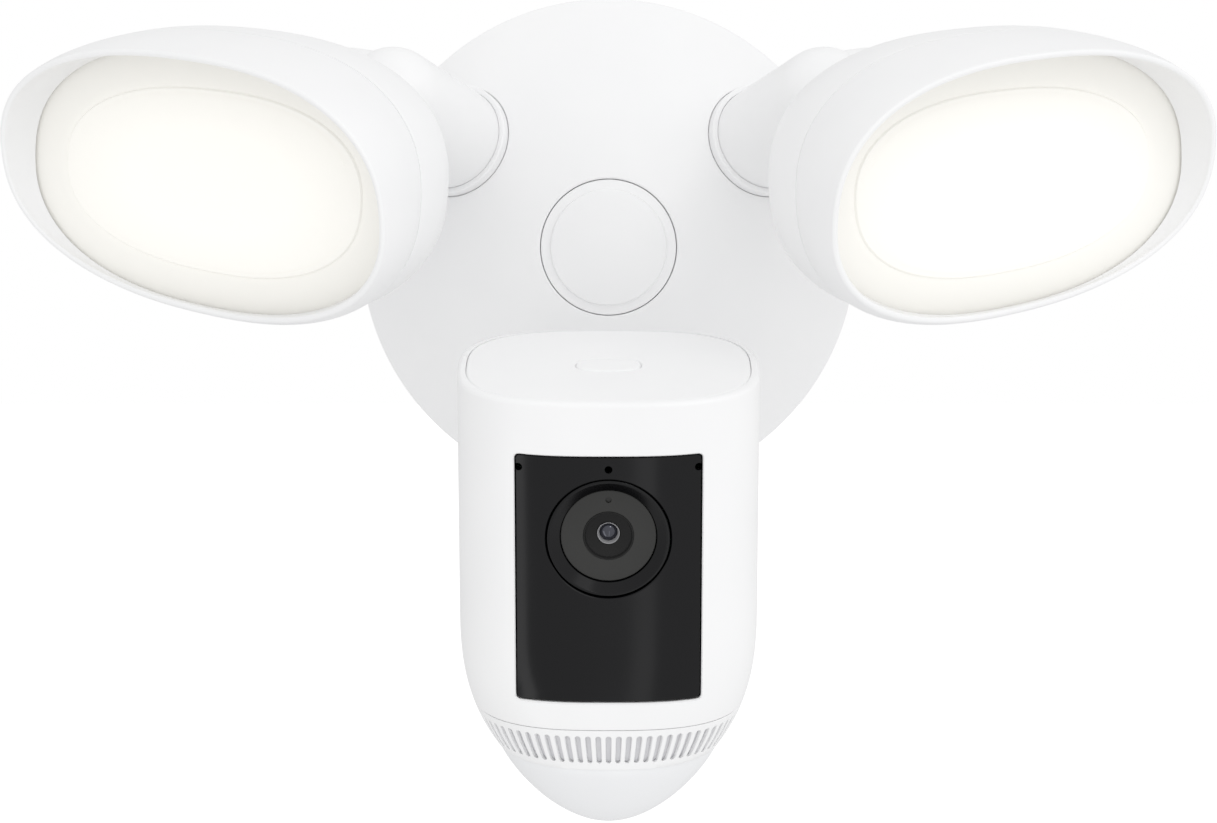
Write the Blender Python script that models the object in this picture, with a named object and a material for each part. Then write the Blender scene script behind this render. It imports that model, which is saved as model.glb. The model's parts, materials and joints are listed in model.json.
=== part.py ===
"""Floodlight security camera: two lamp heads and a camera unit on a round wall base.

Each lamp sits on a short arm that swivels in a socket of the base and ends in a knuckle, where
the lamp tilts. The camera unit hangs on a ball joint below the centre of the base.

Lengths in this script are in millimetres, and add_frame and add_piece turn them into metres.
World frame: +Z up, the wall is the plane Y = 0, and the object stands out from it towards -Y.
The origin is the centre of the base, on the wall.
"""

import math

import bmesh
import bpy
from mathutils import Matrix, Vector

MM = 0.001
GAP = 0.3                        # air between pieces that touch
ROUND = 24                       # sides of a middling turned piece
SMALL_ROUND = 12                 # sides of screws, bores and other small turned pieces
OVAL = 32                        # points round a lamp or the camera unit

# Base
BASE_RADIUS = 64.0
DOME_RADIUS = 92.0               # sphere that the front of the base follows
DOME_FRONT = 31.8                # front of the dome, above the wall
COVER_WALL = 2.2
COVER_REAR = 1.0                 # the cover's rim stops this far from the wall
WELL_RADIUS = 17.25              # round well in the front that holds the bolt and the cap
WELL_FLOOR = 24.7
CAP_RADIUS = 17.0
CAP_FACE_RADIUS = 14.5
BOLT_RADIUS = 3.0
PLATE_RADIUS = 61.3
PLATE_REAR = 2.3
PLATE_FRONT = 4.3
BRACKET_HALF = (48.0, 11.0)
BRACKET_SLOT_PLACE = 32.0        # slot centres left and right of the middle
WIRE_HOLE_RISE = 24.0
GASKET_THICKNESS = 2.0
BRACKET_THICKNESS = 1.8

# Sockets in the dome for the two arms and the camera stem
SOCKET_LEAN = 31.3               # degrees between an arm and the base's axis
ARM_RISE = 34.8                  # degrees above the horizontal, seen from the front
STEM_LEAN = 30.0
SOCKET_RADIUS = 14.8             # spot face that seats the collar
SOCKET_FLOOR = -1.6              # along the socket's axis, from the dome's surface
SOCKET_INSIDE = -5.0             # flat face inside the cover, for the lock nut
SHANK_RADIUS = 6.9
SHANK_END = -10.6
NUT_THICKNESS = 2.8
SEAL_THICKNESS = 1.0

# Arms and knuckles
ARM_ROOT_RADIUS = 13.2
KNUCKLE_RADIUS = 12.5
ARM_LENGTH = 33.0                # dome surface to knuckle centre
KNUCKLE_FACE = 5.5               # friction face, along the tilt axis from the knuckle centre
EAR_OUTER = 14.0
EAR_RADIUS = 10.8
PIVOT_SCREW_RADIUS = 2.2
NUT_FLAT = 3.5                   # centre to flat of the captive nut in the knuckle

# Lamp heads: X to the outer end, Y up and Z forward, from the middle of the rim
LAMP_YAW = 26.1                  # degrees that a lamp looks outward
LAMP_PITCH = 8.8                 # degrees that it looks down
LAMP_ROLL = 8.4                  # degrees that its outer end is lifted
LAMP_FROM_KNUCKLE = Vector((15.4, -14.3, 70.6))
LAMP_POWER = 2.35                # superellipse power of the outlines
LAMP_EGG = -0.05                 # the outer end is narrower
RIM_HALF = (55.1, 32.2)
RIM_LEAN = (-0.069, 0.237)       # forward slope of the rim towards +X and +Y: a hood over the top
LENS_HALF = (49.8, 31.0)
LENS_FACE = -11.6
LENS_PANE_HALF = (40.9, 22.1)
SEAM_HALF = (53.8, 33.8)
SEAM_DEPTH = -16.0
BOWL_DEPTH = 44.0
BOWL_POWER = 2.6
HOUSING_WALL = 2.2

# Camera unit: X to the right, Y to the rear and Z up its own axis, from the middle of the lid
CAMERA_TILT = 15.0               # degrees that it leans forward at rest
BODY_HALF = (35.0, 30.0)
BODY_POWER = 2.9
BODY_WALL = 2.2
TAPER_START = 58.0               # depth below the lid where the body starts to narrow
SEAM_REAR = 8.0                  # joint between front and rear shell, behind the axis
LID_HALF = (33.0, 28.6)
LID_THICKNESS = 2.5
BUTTON_HALF = (7.6, 5.2)
WINDOW_HALF = 21.35
WINDOW_TOP = 12.7
WINDOW_BOTTOM = 72.6
LENS_DEPTH = 32.6                # lens axis below the lid
GRILLE_TOP = 79.8
GRILLE_BOTTOM = 90.9
SLOT_TOP = 81.4
SLOT_BOTTOM = 88.9
SLOT_COUNT = 48
SLOT_SHARE = 0.56                # part of the pitch that is open
DOME_TIP = 113.5

# Ball joint of the camera unit
STEM_LENGTH = 44.4               # dome surface to ball centre
STEM_BORE = 2.6                  # for the wires
NECK_RADIUS = 4.5
BALL_RADIUS = 9.0
LINER_RADII = (9.3, 10.8)
CUP_CAVITY = 11.1
CUP_RADIUS = 14.0
CUP_LIP_ANGLE = 62.0             # degrees from the stem's axis to the lip
LID_FROM_BALL = Vector((0.0, -39.6, 53.0))


# --- Scene ---------------------------------------------------------------------------------

def clear_scene():
    for item in list(bpy.data.objects):
        bpy.data.objects.remove(item, do_unlink=True)


def make_material(name, colour, roughness, metallic=0.0, glow=0.0):
    material = bpy.data.materials.new(name)
    material.use_nodes = True
    shader = material.node_tree.nodes["Principled BSDF"]
    shader.inputs["Base Color"].default_value = (*colour, 1.0)
    shader.inputs["Roughness"].default_value = roughness
    shader.inputs["Metallic"].default_value = metallic
    shader.inputs["Emission Color"].default_value = (*colour, 1.0)
    shader.inputs["Emission Strength"].default_value = glow
    material.diffuse_color = (*colour, 1.0)
    return material


def make_materials():
    return {
        "white": make_material("white_plastic", (0.86, 0.86, 0.86), 0.5),
        "dome": make_material("dome_film", (0.88, 0.88, 0.86), 0.4),
        "diffuser": make_material("lamp_diffuser", (1.0, 0.95, 0.84), 0.35, glow=1.5),
        "black": make_material("black_gloss", (0.008, 0.008, 0.010), 0.12),
        "grey": make_material("lens_grey", (0.06, 0.06, 0.06), 0.35),
        "glass": make_material("lens_glass", (0.02, 0.03, 0.04), 0.03),
        "rubber": make_material("black_rubber", (0.03, 0.03, 0.03), 0.8),
        "liner": make_material("grey_nylon", (0.35, 0.35, 0.36), 0.5),
        "steel": make_material("zinc_steel", (0.55, 0.55, 0.56), 0.35, metallic=1.0),
        "aluminium": make_material("aluminium", (0.7, 0.7, 0.71), 0.4, metallic=1.0),
        "reflector": make_material("reflector_white", (0.9, 0.9, 0.9), 0.3),
        "board": make_material("circuit_board", (0.02, 0.16, 0.07), 0.5),
        "block": make_material("dark_plastic", (0.05, 0.05, 0.06), 0.5),
    }


def mirrored(matrix, side):
    """The same placing on the other side of the plane X = 0 when side is -1."""
    flip = Matrix.Diagonal((side, 1.0, 1.0, 1.0))
    return flip @ matrix @ flip


def add_frame(name, parent=None, place=None, side=1):
    frame = bpy.data.objects.new(name, None)
    frame.empty_display_size = 10.0 * MM
    bpy.context.scene.collection.objects.link(frame)
    frame.parent = parent
    matrix = mirrored(place, side) if place else Matrix.Identity(4)
    matrix.translation *= MM
    frame.matrix_basis = matrix
    return frame


def add_piece(name, shape, material, frame, side=1):
    """Turn a bmesh in millimetres into an object in metres, in the axes of its frame."""
    bmesh.ops.transform(shape, matrix=Matrix.Diagonal((side * MM, MM, MM, 1.0)), verts=shape.verts)
    bmesh.ops.recalc_face_normals(shape, faces=shape.faces)
    mesh = bpy.data.meshes.new(name)
    shape.to_mesh(mesh)
    shape.free()
    mesh.shade_smooth()
    mesh.set_sharp_from_angle(angle=math.radians(35))
    if material:
        mesh.materials.append(material)
    piece = bpy.data.objects.new(name, mesh)
    bpy.context.scene.collection.objects.link(piece)
    piece.parent = frame
    return piece


def combine(piece, name, shape, operation, frame=None, side=1):
    """Cut, join or intersect a piece with a shape, which stays in the scene as a hidden guide."""
    guide = add_piece(f"{piece.name}.{name}", shape, None, frame or piece.parent, side)
    guide.hide_render = True
    guide.display_type = "WIRE"
    boolean = piece.modifiers.new(name, "BOOLEAN")
    boolean.operation = operation
    boolean.object = guide
    return guide


# --- Shapes --------------------------------------------------------------------------------

def circle(radius, height, count=ROUND):
    angles = [2.0 * math.pi * k / count for k in range(count)]
    return [Vector((radius * math.cos(a), radius * math.sin(a), height)) for a in angles]


def oval(half, power, height, count=OVAL, egg=0.0, rise=0.0, lean=(0.0, 0.0)):
    """A superellipse. Egg narrows it towards +X, rise lifts it in Y, and lean slopes its height."""
    ring = []
    for k in range(count):
        angle = 2.0 * math.pi * k / count
        c = math.cos(angle)
        s = math.sin(angle)
        reach = (abs(c) ** power + abs(s) ** power) ** (-1.0 / power)
        x = half[0] * c * reach
        y = half[1] * s * reach * (1.0 + egg * x / half[0])
        ring.append(Vector((x, y + rise, height + lean[0] * x + lean[1] * y)))
    return ring


def skin(shape, low, high):
    count = max(len(low), len(high))
    for k in range(count):
        corners = [low[k % len(low)], low[(k + 1) % len(low)],
                   high[(k + 1) % len(high)], high[k % len(high)]]
        shape.faces.new(list(dict.fromkeys(corners)))


def loft(rings, closed=False):
    """Skin ring to ring. The ends are capped, or joined to each other when closed."""
    shape = bmesh.new()
    loops = [[shape.verts.new(point) for point in ring] for ring in rings]
    for low, high in zip(loops, loops[1:]):
        skin(shape, low, high)
    if closed:
        skin(shape, loops[-1], loops[0])
    else:
        for loop in (loops[0], loops[-1]):
            if len(loop) > 2:
                shape.faces.new(loop)
    return shape


def turned(profile, count=ROUND, closed=False):
    """Turn a profile of (radius, height) points about Z."""
    rings = [circle(r, z, count) if r > 0.0 else [Vector((0.0, 0.0, z))] for r, z in profile]
    return loft(rings, closed)


def tube(inner, outer, low, high, count=ROUND):
    return turned([(inner, low), (outer, low), (outer, high), (inner, high)], count, closed=True)


def cylinder(radius, low, high, count=ROUND):
    return loft([circle(radius, low, count), circle(radius, high, count)])


def box(low, high):
    shape = bmesh.new()
    bmesh.ops.create_cube(shape, size=1.0)
    size = Vector(high) - Vector(low)
    middle = (Vector(high) + Vector(low)) / 2.0
    place = Matrix.Translation(middle) @ Matrix.Diagonal((*size, 1.0))
    bmesh.ops.transform(shape, matrix=place, verts=shape.verts)
    return shape


def merged(shapes):
    """Several separate shapes as one."""
    whole = bmesh.new()
    for shape in shapes:
        mesh = bpy.data.meshes.new("scrap")
        shape.to_mesh(mesh)
        shape.free()
        whole.from_mesh(mesh)
        bpy.data.meshes.remove(mesh)
    return whole


def moved(shape, matrix):
    bmesh.ops.transform(shape, matrix=matrix, verts=shape.verts)
    return shape


def arc(centre, radius, start, end, steps):
    """Points of (radius, height) round a centre; angles in degrees from the radial direction."""
    points = []
    for k in range(steps + 1):
        angle = math.radians(start + (end - start) * k / steps)
        points.append((centre[0] + radius * math.cos(angle), centre[1] + radius * math.sin(angle)))
    return points


def to_axis_x():
    """Turns Z towards +X, for pieces that lie along the tilt axis."""
    return Matrix.Rotation(math.radians(90.0), 4, "Y")


def lean_x(degrees):
    return Matrix.Rotation(math.radians(degrees), 4, "X")


# --- Frames --------------------------------------------------------------------------------

def socket_place(lean, bearing):
    """Frame on the dome's surface in the base frame; Z points out, bearing is from +X to up."""
    spin = Matrix.Rotation(math.radians(bearing), 4, "Z")
    tip = Matrix.Rotation(math.radians(lean), 4, "Y")
    rise = Matrix.Translation((0.0, 0.0, DOME_FRONT - DOME_RADIUS))
    return rise @ spin @ tip @ Matrix.Translation((0.0, 0.0, DOME_RADIUS))


def lamp_turn():
    """Rotation of a right-hand lamp in the base frame: X outer end, Y up, Z forward."""
    yaw = Matrix.Rotation(math.radians(LAMP_YAW), 4, "Y")
    pitch = Matrix.Rotation(math.radians(LAMP_PITCH), 4, "X")
    roll = Matrix.Rotation(math.radians(LAMP_ROLL), 4, "Z")
    return yaw @ pitch @ roll


def dome_height(radius, sphere=DOME_RADIUS):
    return DOME_FRONT - DOME_RADIUS + math.sqrt(sphere ** 2 - radius ** 2)


# --- Base ----------------------------------------------------------------------------------

def build_base(base, paint):
    width, height = BRACKET_HALF
    strip = box((-width, -height, 0), (width, height, BRACKET_THICKNESS))
    bracket = add_piece("mounting_bracket", strip, paint["steel"], base)
    boss = cylinder(7.0, 0.9, 6.5, SMALL_ROUND)
    combine(bracket, "boss", boss, "UNION")
    thread = cylinder(BOLT_RADIUS + GAP, 2.2, 8.0, SMALL_ROUND)
    slots = [box((x - 9, -2.4, -1), (x + 9, 2.4, 4))
             for x in (-BRACKET_SLOT_PLACE, BRACKET_SLOT_PLACE)]
    combine(bracket, "holes", merged([thread, *slots]), "DIFFERENCE")

    add_piece("base_gasket", tube(55.0, 61.3, 0.0, GASKET_THICKNESS, 48), paint["rubber"], base)

    build_back_plate(base, paint)
    build_cover(base, paint)
    build_power(base, paint)
    build_centre_bolt(base, paint)


def build_back_plate(base, paint):
    plate = add_piece("base_back_plate",
                      tube(9.0, PLATE_RADIUS, PLATE_REAR, PLATE_FRONT, 48), paint["white"], base)
    posts = [moved(cylinder(3.2, PLATE_FRONT - 0.8, 8.0, 12), Matrix.Translation((x, y, 0)))
             for x, y in ((-21, -24), (21, -24), (-21, 11), (21, 11))]
    combine(plate, "posts", merged(posts), "UNION")
    rise = Matrix.Translation((0, WIRE_HOLE_RISE, 0))
    wire_hole = moved(cylinder(6.0, 0.0, 6.0, SMALL_ROUND), rise)
    combine(plate, "wire_hole", wire_hole, "DIFFERENCE")
    grommet = turned([(0.0, 1.2), (6.8, 1.2), (6.8, PLATE_REAR - GAP), (5.7, PLATE_REAR - GAP),
                      (5.7, PLATE_FRONT + GAP), (6.8, PLATE_FRONT + GAP), (6.2, 6.4), (4.0, 7.0),
                      (0.0, 7.0)], SMALL_ROUND)
    add_piece("wire_grommet", moved(grommet, rise), paint["rubber"], base)


def build_cover(base, paint):
    outer = [(r, dome_height(r)) for r in (WELL_RADIUS, 28, 38, 47, 55, 60.5, BASE_RADIUS)]
    inside = DOME_RADIUS - COVER_WALL
    inner = [(r, dome_height(r, inside)) for r in (61.8, 50, 35, WELL_RADIUS + COVER_WALL)]
    floor_rear = WELL_FLOOR - COVER_WALL
    hole = BOLT_RADIUS + GAP + 0.4
    profile = [(hole, WELL_FLOOR), (WELL_RADIUS, WELL_FLOOR), *outer, (BASE_RADIUS, COVER_REAR),
               (61.8, COVER_REAR), *inner, (WELL_RADIUS + COVER_WALL, floor_rear),
               (hole, floor_rear)]
    cover = add_piece("base_cover", turned(profile, 48, closed=True), paint["white"], base)
    bosses = []
    faces = []
    bores = []
    for lean, bearing in ((SOCKET_LEAN, ARM_RISE), (SOCKET_LEAN, 180.0 - ARM_RISE),
                          (STEM_LEAN, -90.0)):
        place = socket_place(lean, bearing)
        bosses.append(moved(cylinder(13.0, SOCKET_INSIDE, -1.0, 16), place))
        faces.append(moved(cylinder(SOCKET_RADIUS, SOCKET_FLOOR, 5.0, ROUND), place))
        bores.append(moved(cylinder(SHANK_RADIUS + GAP, -9.0, 2.0, SMALL_ROUND), place))
    combine(cover, "socket_bosses", merged(bosses), "UNION")
    combine(cover, "socket_faces", merged(faces), "DIFFERENCE")
    combine(cover, "socket_bores", merged(bores), "DIFFERENCE")


def build_power(base, paint):
    board = add_piece("driver_board", box((-25, -29, 8.3), (25, 15, 9.9)), paint["board"], base)
    combine(board, "bolt_gap", cylinder(7.8, 8.0, 10.4, SMALL_ROUND), "DIFFERENCE")
    add_piece("power_supply_block", box((-14.5, -26, 10.2), (14.5, -10, 20.5)), paint["block"], base)
    terminal = box((-11, 8.6, 10.2), (11, 14.6, 18.2))
    block = add_piece("terminal_block", terminal, paint["block"], base)
    ports = [box((x - 2.2, 12.0, 12.0), (x + 2.2, 20.0, 16.4)) for x in (-7, 0, 7)]
    combine(block, "ports", merged(ports), "DIFFERENCE")


def build_centre_bolt(base, paint):
    head_seat = WELL_FLOOR + GAP
    bolt = turned([(0.0, 2.6), (BOLT_RADIUS - 0.4, 2.6), (BOLT_RADIUS, 3.4),
                   (BOLT_RADIUS, head_seat), (5.6, head_seat), (5.6, head_seat + 1.6),
                   (4.6, head_seat + 2.6), (0.0, head_seat + 2.6)], SMALL_ROUND)
    piece = add_piece("mounting_bolt", bolt, paint["steel"], base)
    hexagon = cylinder(2.3, head_seat + 0.9, head_seat + 4.0, 6)
    combine(piece, "hex_socket", hexagon, "DIFFERENCE")

    crown = dome_height(0.0) + 0.4
    edge = dome_height(CAP_RADIUS)
    cap = turned([(0.0, crown - 1.8), (CAP_FACE_RADIUS - 1.5, edge - 1.6),
                  (CAP_FACE_RADIUS - 1.5, WELL_FLOOR + GAP), (CAP_RADIUS, WELL_FLOOR + GAP),
                  (CAP_RADIUS, edge - 0.3), (CAP_FACE_RADIUS, edge + 0.7),
                  (CAP_FACE_RADIUS * 0.5, crown - 0.2), (0.0, crown)], ROUND)
    add_piece("centre_cap", cap, paint["white"], base)


# --- Sockets, arms and knuckles ---------------------------------------------------------------

def collar_shape():
    floor = SOCKET_FLOOR + GAP
    return turned([(SHANK_RADIUS + GAP, floor), (14.5, floor), (14.5, 0.7), (14.1, 1.2),
                   (ARM_ROOT_RADIUS + GAP, 1.2), (ARM_ROOT_RADIUS + GAP, floor + 0.8),
                   (SHANK_RADIUS + GAP, floor + 0.8)], ROUND, closed=True)


def seal_shape():
    return tube(SHANK_RADIUS + GAP, 11.0, SOCKET_INSIDE - GAP - SEAL_THICKNESS,
                SOCKET_INSIDE - GAP)


def nut_shape():
    """Hexagon nut with a round bore."""
    high = SOCKET_INSIDE - 2.0 * GAP - SEAL_THICKNESS
    low = high - NUT_THICKNESS
    count = 24
    rings = []
    for radius, height in ((SHANK_RADIUS + GAP, low), (None, low), (None, high),
                           (SHANK_RADIUS + GAP, high)):
        if radius:
            rings.append(circle(radius, height, count))
        else:
            rings.append(hexagon_ring(10.0, height, count))
    return loft(rings, closed=True)


def hexagon_ring(flat_radius, height, count):
    ring = []
    for k in range(count):
        angle = 2.0 * math.pi * k / count
        from_flat = (angle + math.pi / 6.0) % (math.pi / 3.0) - math.pi / 6.0
        reach = flat_radius / math.cos(from_flat)
        ring.append(Vector((reach * math.cos(angle), reach * math.sin(angle), height)))
    return ring


def build_arm(word, side, base, paint):
    place = socket_place(SOCKET_LEAN, ARM_RISE)
    fixed = add_frame(f"socket_{word}", base, place, side)
    swivel = add_frame(f"arm_{word}_swivel", base, place, side)
    add_piece(f"collar_{word}", collar_shape(), paint["white"], fixed, side)
    add_piece(f"arm_seal_{word}", seal_shape(), paint["rubber"], fixed, side)
    add_piece(f"arm_lock_nut_{word}", nut_shape(), paint["steel"], swivel, side)

    foot = SOCKET_FLOOR + 2.0 * GAP + 0.8
    bore = 3.5
    profile = [(0.0, 20.0), (bore, 19.0), (bore, SHANK_END), (SHANK_RADIUS, SHANK_END),
               (SHANK_RADIUS, foot), (ARM_ROOT_RADIUS, foot), (ARM_ROOT_RADIUS, 2.0),
               (12.9, 18.0),
               *arc((0.0, ARM_LENGTH), KNUCKLE_RADIUS, 0, 75, 5), (0.0, ARM_LENGTH + KNUCKLE_RADIUS)]
    arm = add_piece(f"arm_{word}", turned(profile, ROUND), paint["white"], swivel, side)

    knuckle_centre = place @ Vector((0.0, 0.0, ARM_LENGTH))
    pivot_place = Matrix.Translation(knuckle_centre) @ lamp_turn()
    pivot = add_frame(f"lamp_{word}_pivot", swivel, place.inverted() @ pivot_place, side)
    ear_room = cylinder(KNUCKLE_RADIUS + 0.8, KNUCKLE_FACE, 22.0)
    combine(arm, "ear_room", moved(ear_room, to_axis_x()), "DIFFERENCE", pivot, side)
    screw_bore = cylinder(PIVOT_SCREW_RADIUS + GAP, -7.5, 8.0, SMALL_ROUND)
    combine(arm, "screw_bore", moved(screw_bore, to_axis_x()), "DIFFERENCE", pivot, side)
    pocket = loft([hexagon_ring(NUT_FLAT + GAP, height, 12) for height in (2.0, 9.0)])
    combine(arm, "nut_pocket", moved(pocket, to_axis_x()), "DIFFERENCE", pivot, side)

    nut = loft([circle(PIVOT_SCREW_RADIUS + GAP, 2.3, 12), hexagon_ring(NUT_FLAT, 2.3, 12),
                hexagon_ring(NUT_FLAT, 5.2, 12), circle(PIVOT_SCREW_RADIUS + GAP, 5.2, 12)],
               closed=True)
    add_piece(f"knuckle_nut_{word}", moved(nut, to_axis_x()), paint["steel"], pivot, side)
    screw = turned([(0.0, -7.0), (PIVOT_SCREW_RADIUS, -7.0), (PIVOT_SCREW_RADIUS, 10.5),
                    (5.0, 10.5), (5.0, 12.9), (4.4, 13.5), (0.0, 13.5)], SMALL_ROUND)
    piece = add_piece(f"knuckle_screw_{word}", moved(screw, to_axis_x()), paint["steel"],
                      pivot, side)
    key = moved(cylinder(2.3, 11.9, 15.0, 6), to_axis_x())
    combine(piece, "hex_socket", key, "DIFFERENCE", pivot, side)
    return pivot


# --- Lamp heads ------------------------------------------------------------------------------

def lamp_ring(half, height, inset=0.0, rise=0.0, lean=(0.0, 0.0)):
    size = (half[0] - inset, half[1] - inset)
    return oval(size, LAMP_POWER, height, egg=LAMP_EGG, rise=rise, lean=lean)


def bowl_rings(inset, front, end):
    """Rings of the rounded housing from the front to near the end, inset from its outside."""
    rings = []
    steps = 7
    depth = BOWL_DEPTH - inset
    for k in range(steps + 1):
        share = end * math.sin(math.radians(90.0 * k / steps))
        shrink = math.sqrt(1.0 - share ** BOWL_POWER)
        half = ((SEAM_HALF[0] - inset) * shrink, (SEAM_HALF[1] - inset) * shrink)
        rings.append(lamp_ring(half, front - share * depth, rise=0.9 * shrink))
    return rings


def belt_outline(first, second, steps=10):
    """Outline round two circles, each (y, z, radius), as a belt runs round two pulleys."""
    start = Vector(first[:2])
    across = Vector(second[:2]) - start
    aim = math.atan2(across.y, across.x)
    spread = math.acos((first[2] - second[2]) / across.length)
    outline = []
    for (y, z, radius), low, high in ((first, aim + spread, aim + 2.0 * math.pi - spread),
                                      (second, aim - spread, aim + spread)):
        for k in range(steps + 1):
            angle = low + (high - low) * k / steps
            outline.append((y + radius * math.cos(angle), z + radius * math.sin(angle)))
    return outline


def lug_shape():
    """The ear that takes the knuckle, in the lamp frame."""
    knuckle = -LAMP_FROM_KNUCKLE
    outline = belt_outline((knuckle.y, knuckle.z, EAR_RADIUS), (8.0, -49.0, 8.0))
    low = knuckle.x + KNUCKLE_FACE + GAP
    high = knuckle.x + EAR_OUTER
    return loft([[Vector((x, y, z)) for y, z in outline] for x in (low, high)])


def build_lamp(word, side, pivot, paint):
    lamp = add_frame(f"lamp_{word}_frame", pivot, Matrix.Translation(LAMP_FROM_KNUCKLE), side)
    housing_front = SEAM_DEPTH - GAP
    housing = add_piece(f"lamp_housing_{word}", loft(bowl_rings(0.0, housing_front, 0.99)),
                        paint["white"], lamp, side)
    combine(housing, "ear", lug_shape(), "UNION", lamp, side)
    cavity = bowl_rings(HOUSING_WALL, housing_front, 0.96)
    mouth = [point + Vector((0.0, 0.0, 2.0)) for point in cavity[0]]
    combine(housing, "cavity", loft([mouth, *cavity]), "DIFFERENCE", lamp, side)
    screw_bore = turned([(0.0, 2.0), (PIVOT_SCREW_RADIUS + GAP, 2.0),
                         (PIVOT_SCREW_RADIUS + GAP, 10.2), (5.3, 10.2), (5.3, 16.0), (0.0, 16.0)],
                        SMALL_ROUND)
    combine(housing, "screw_bore", moved(screw_bore, to_axis_x()), "DIFFERENCE", pivot, side)

    build_bezel(word, side, lamp, paint)
    build_lamp_inside(word, side, lamp, paint)


def build_bezel(word, side, lamp, paint):
    lens_seat = (LENS_HALF[0] + 1.1, LENS_HALF[1] + 0.9)
    middle_lean = (RIM_LEAN[0] * 0.5, RIM_LEAN[1] * 0.5)
    rings = [
        lamp_ring(SEAM_HALF, SEAM_DEPTH, rise=0.9),
        lamp_ring((55.2, 33.5), SEAM_DEPTH * 0.5, rise=0.4, lean=middle_lean),
        lamp_ring(RIM_HALF, -1.0, lean=RIM_LEAN),
        lamp_ring(RIM_HALF, 0.0, inset=0.7, lean=RIM_LEAN),
        lamp_ring(RIM_HALF, -0.8, inset=1.5, lean=RIM_LEAN),
        lamp_ring((51.7, 30.9), -6.0, lean=middle_lean),
        lamp_ring(LENS_HALF, LENS_FACE),
        lamp_ring(lens_seat, LENS_FACE - GAP),
        lamp_ring(lens_seat, SEAM_DEPTH),
    ]
    add_piece(f"lamp_bezel_{word}", loft(rings, closed=True), paint["white"], lamp, side)


def build_lamp_inside(word, side, lamp, paint):
    seat = (LENS_HALF[0] + 0.8, LENS_HALF[1] + 0.6)
    lens_front = LENS_FACE - 2.0 * GAP
    lens = [lamp_ring(seat, lens_front - 2.4), lamp_ring(seat, lens_front),
            lamp_ring(LENS_PANE_HALF, lens_front + 1.0, rise=-0.7),
            lamp_ring((20.0, 11.0), lens_front + 1.6, rise=-0.7)]
    add_piece(f"lamp_diffuser_{word}", loft(lens), paint["diffuser"], lamp, side)

    gasket_front = lens_front - 2.4 - GAP
    inner = (seat[0] - 3.5, seat[1] - 3.5)
    gasket = [lamp_ring(inner, SEAM_DEPTH + 0.1), lamp_ring(seat, SEAM_DEPTH + 0.1),
              lamp_ring(seat, gasket_front), lamp_ring(inner, gasket_front)]
    add_piece(f"lens_gasket_{word}", loft(gasket, closed=True), paint["rubber"], lamp, side)

    rear = SEAM_DEPTH - 13.0
    reflector = [lamp_ring((30.5, 17.5), rear), lamp_ring((32.0, 19.0), rear),
                 lamp_ring((49.5, 29.4), SEAM_DEPTH - 2.0), lamp_ring((49.5, 29.4), SEAM_DEPTH - 0.4),
                 lamp_ring((48.0, 27.9), SEAM_DEPTH - 0.4), lamp_ring((30.5, 17.5), rear + 1.2)]
    add_piece(f"reflector_{word}", loft(reflector, closed=True), paint["reflector"], lamp, side)

    board = add_piece(f"led_board_{word}", loft([lamp_ring((31.5, 18.5), rear - GAP - 1.6),
                                                 lamp_ring((31.5, 18.5), rear - GAP)]),
                      paint["board"], lamp, side)
    leds = [box((x - 1.8, y - 1.8, rear - 1.0), (x + 1.8, y + 1.8, rear + 0.7))
            for x in (-21, -7, 7, 21) for y in (-7, 7)]
    combine(board, "leds", merged(leds), "UNION", lamp, side)

    add_piece(f"heat_sink_{word}", comb_shape(28.0, 13.0, rear - 2.0 * GAP - 1.6, 3.0, 10.0, 7),
              paint["aluminium"], lamp, side)


def comb_shape(half_width, half_height, front, thickness, fin_length, fins):
    """A plate with fins behind it, as one extruded comb."""
    pitch = 2.0 * half_width / (fins - 0.5)
    root = front - thickness
    outline = [(-half_width, front)]
    for k in range(fins):
        x = -half_width + k * pitch
        outline += [(x, root - fin_length), (x + pitch / 2.0, root - fin_length)]
        if k < fins - 1:
            outline += [(x + pitch / 2.0, root), (x + pitch, root)]
    outline.append((half_width, front))
    return loft([[Vector((x, y, z)) for x, z in outline] for y in (-half_height, half_height)])


# --- Camera unit -------------------------------------------------------------------------------

def body_ring(depth, inset=0.0):
    """Outline of the camera unit at a depth below the lid."""
    loss = 0.0
    if depth > TAPER_START:
        loss = 1.14 * ((depth - TAPER_START) / 60.0) ** 2.62
    half = (BODY_HALF[0] * (1.0 - loss) - inset, BODY_HALF[1] * (1.0 - 0.65 * loss) - inset)
    return oval(half, BODY_POWER - 2.0 * loss, -depth)


def body_rings(depths, inset=0.0):
    return [body_ring(depth, inset) for depth in depths]


def body_core(inset, bottom=100.0):
    """The camera unit's outside as one solid, shrunk by the inset; it runs past both ends."""
    depths = [-5.0, TAPER_START, 66.0, 73.0, GRILLE_TOP, 85.0, 90.0, bottom]
    return loft(body_rings(depths, inset))


def shell_shape():
    """Tube of the whole shell, with the seat of the lid at the top."""
    end = GRILLE_TOP - GAP / 2.0
    outside = [end, 73.0, 66.0, TAPER_START, 1.0]
    inside = [5.4, TAPER_START, 66.0, 73.0, end]
    lid_room = (LID_HALF[0] + GAP, LID_HALF[1] + GAP)
    ledge = (LID_HALF[0] - 1.6, LID_HALF[1] - 1.6)
    shelf = LID_THICKNESS + GAP
    rings = [*body_rings(outside), body_ring(0.0, 0.8), oval(lid_room, BODY_POWER, 0.0),
             oval(lid_room, BODY_POWER, -shelf), oval(ledge, BODY_POWER, -shelf),
             oval(ledge, BODY_POWER, -shelf - 1.6), *body_rings(inside, BODY_WALL)]
    return loft(rings, closed=True)


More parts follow.
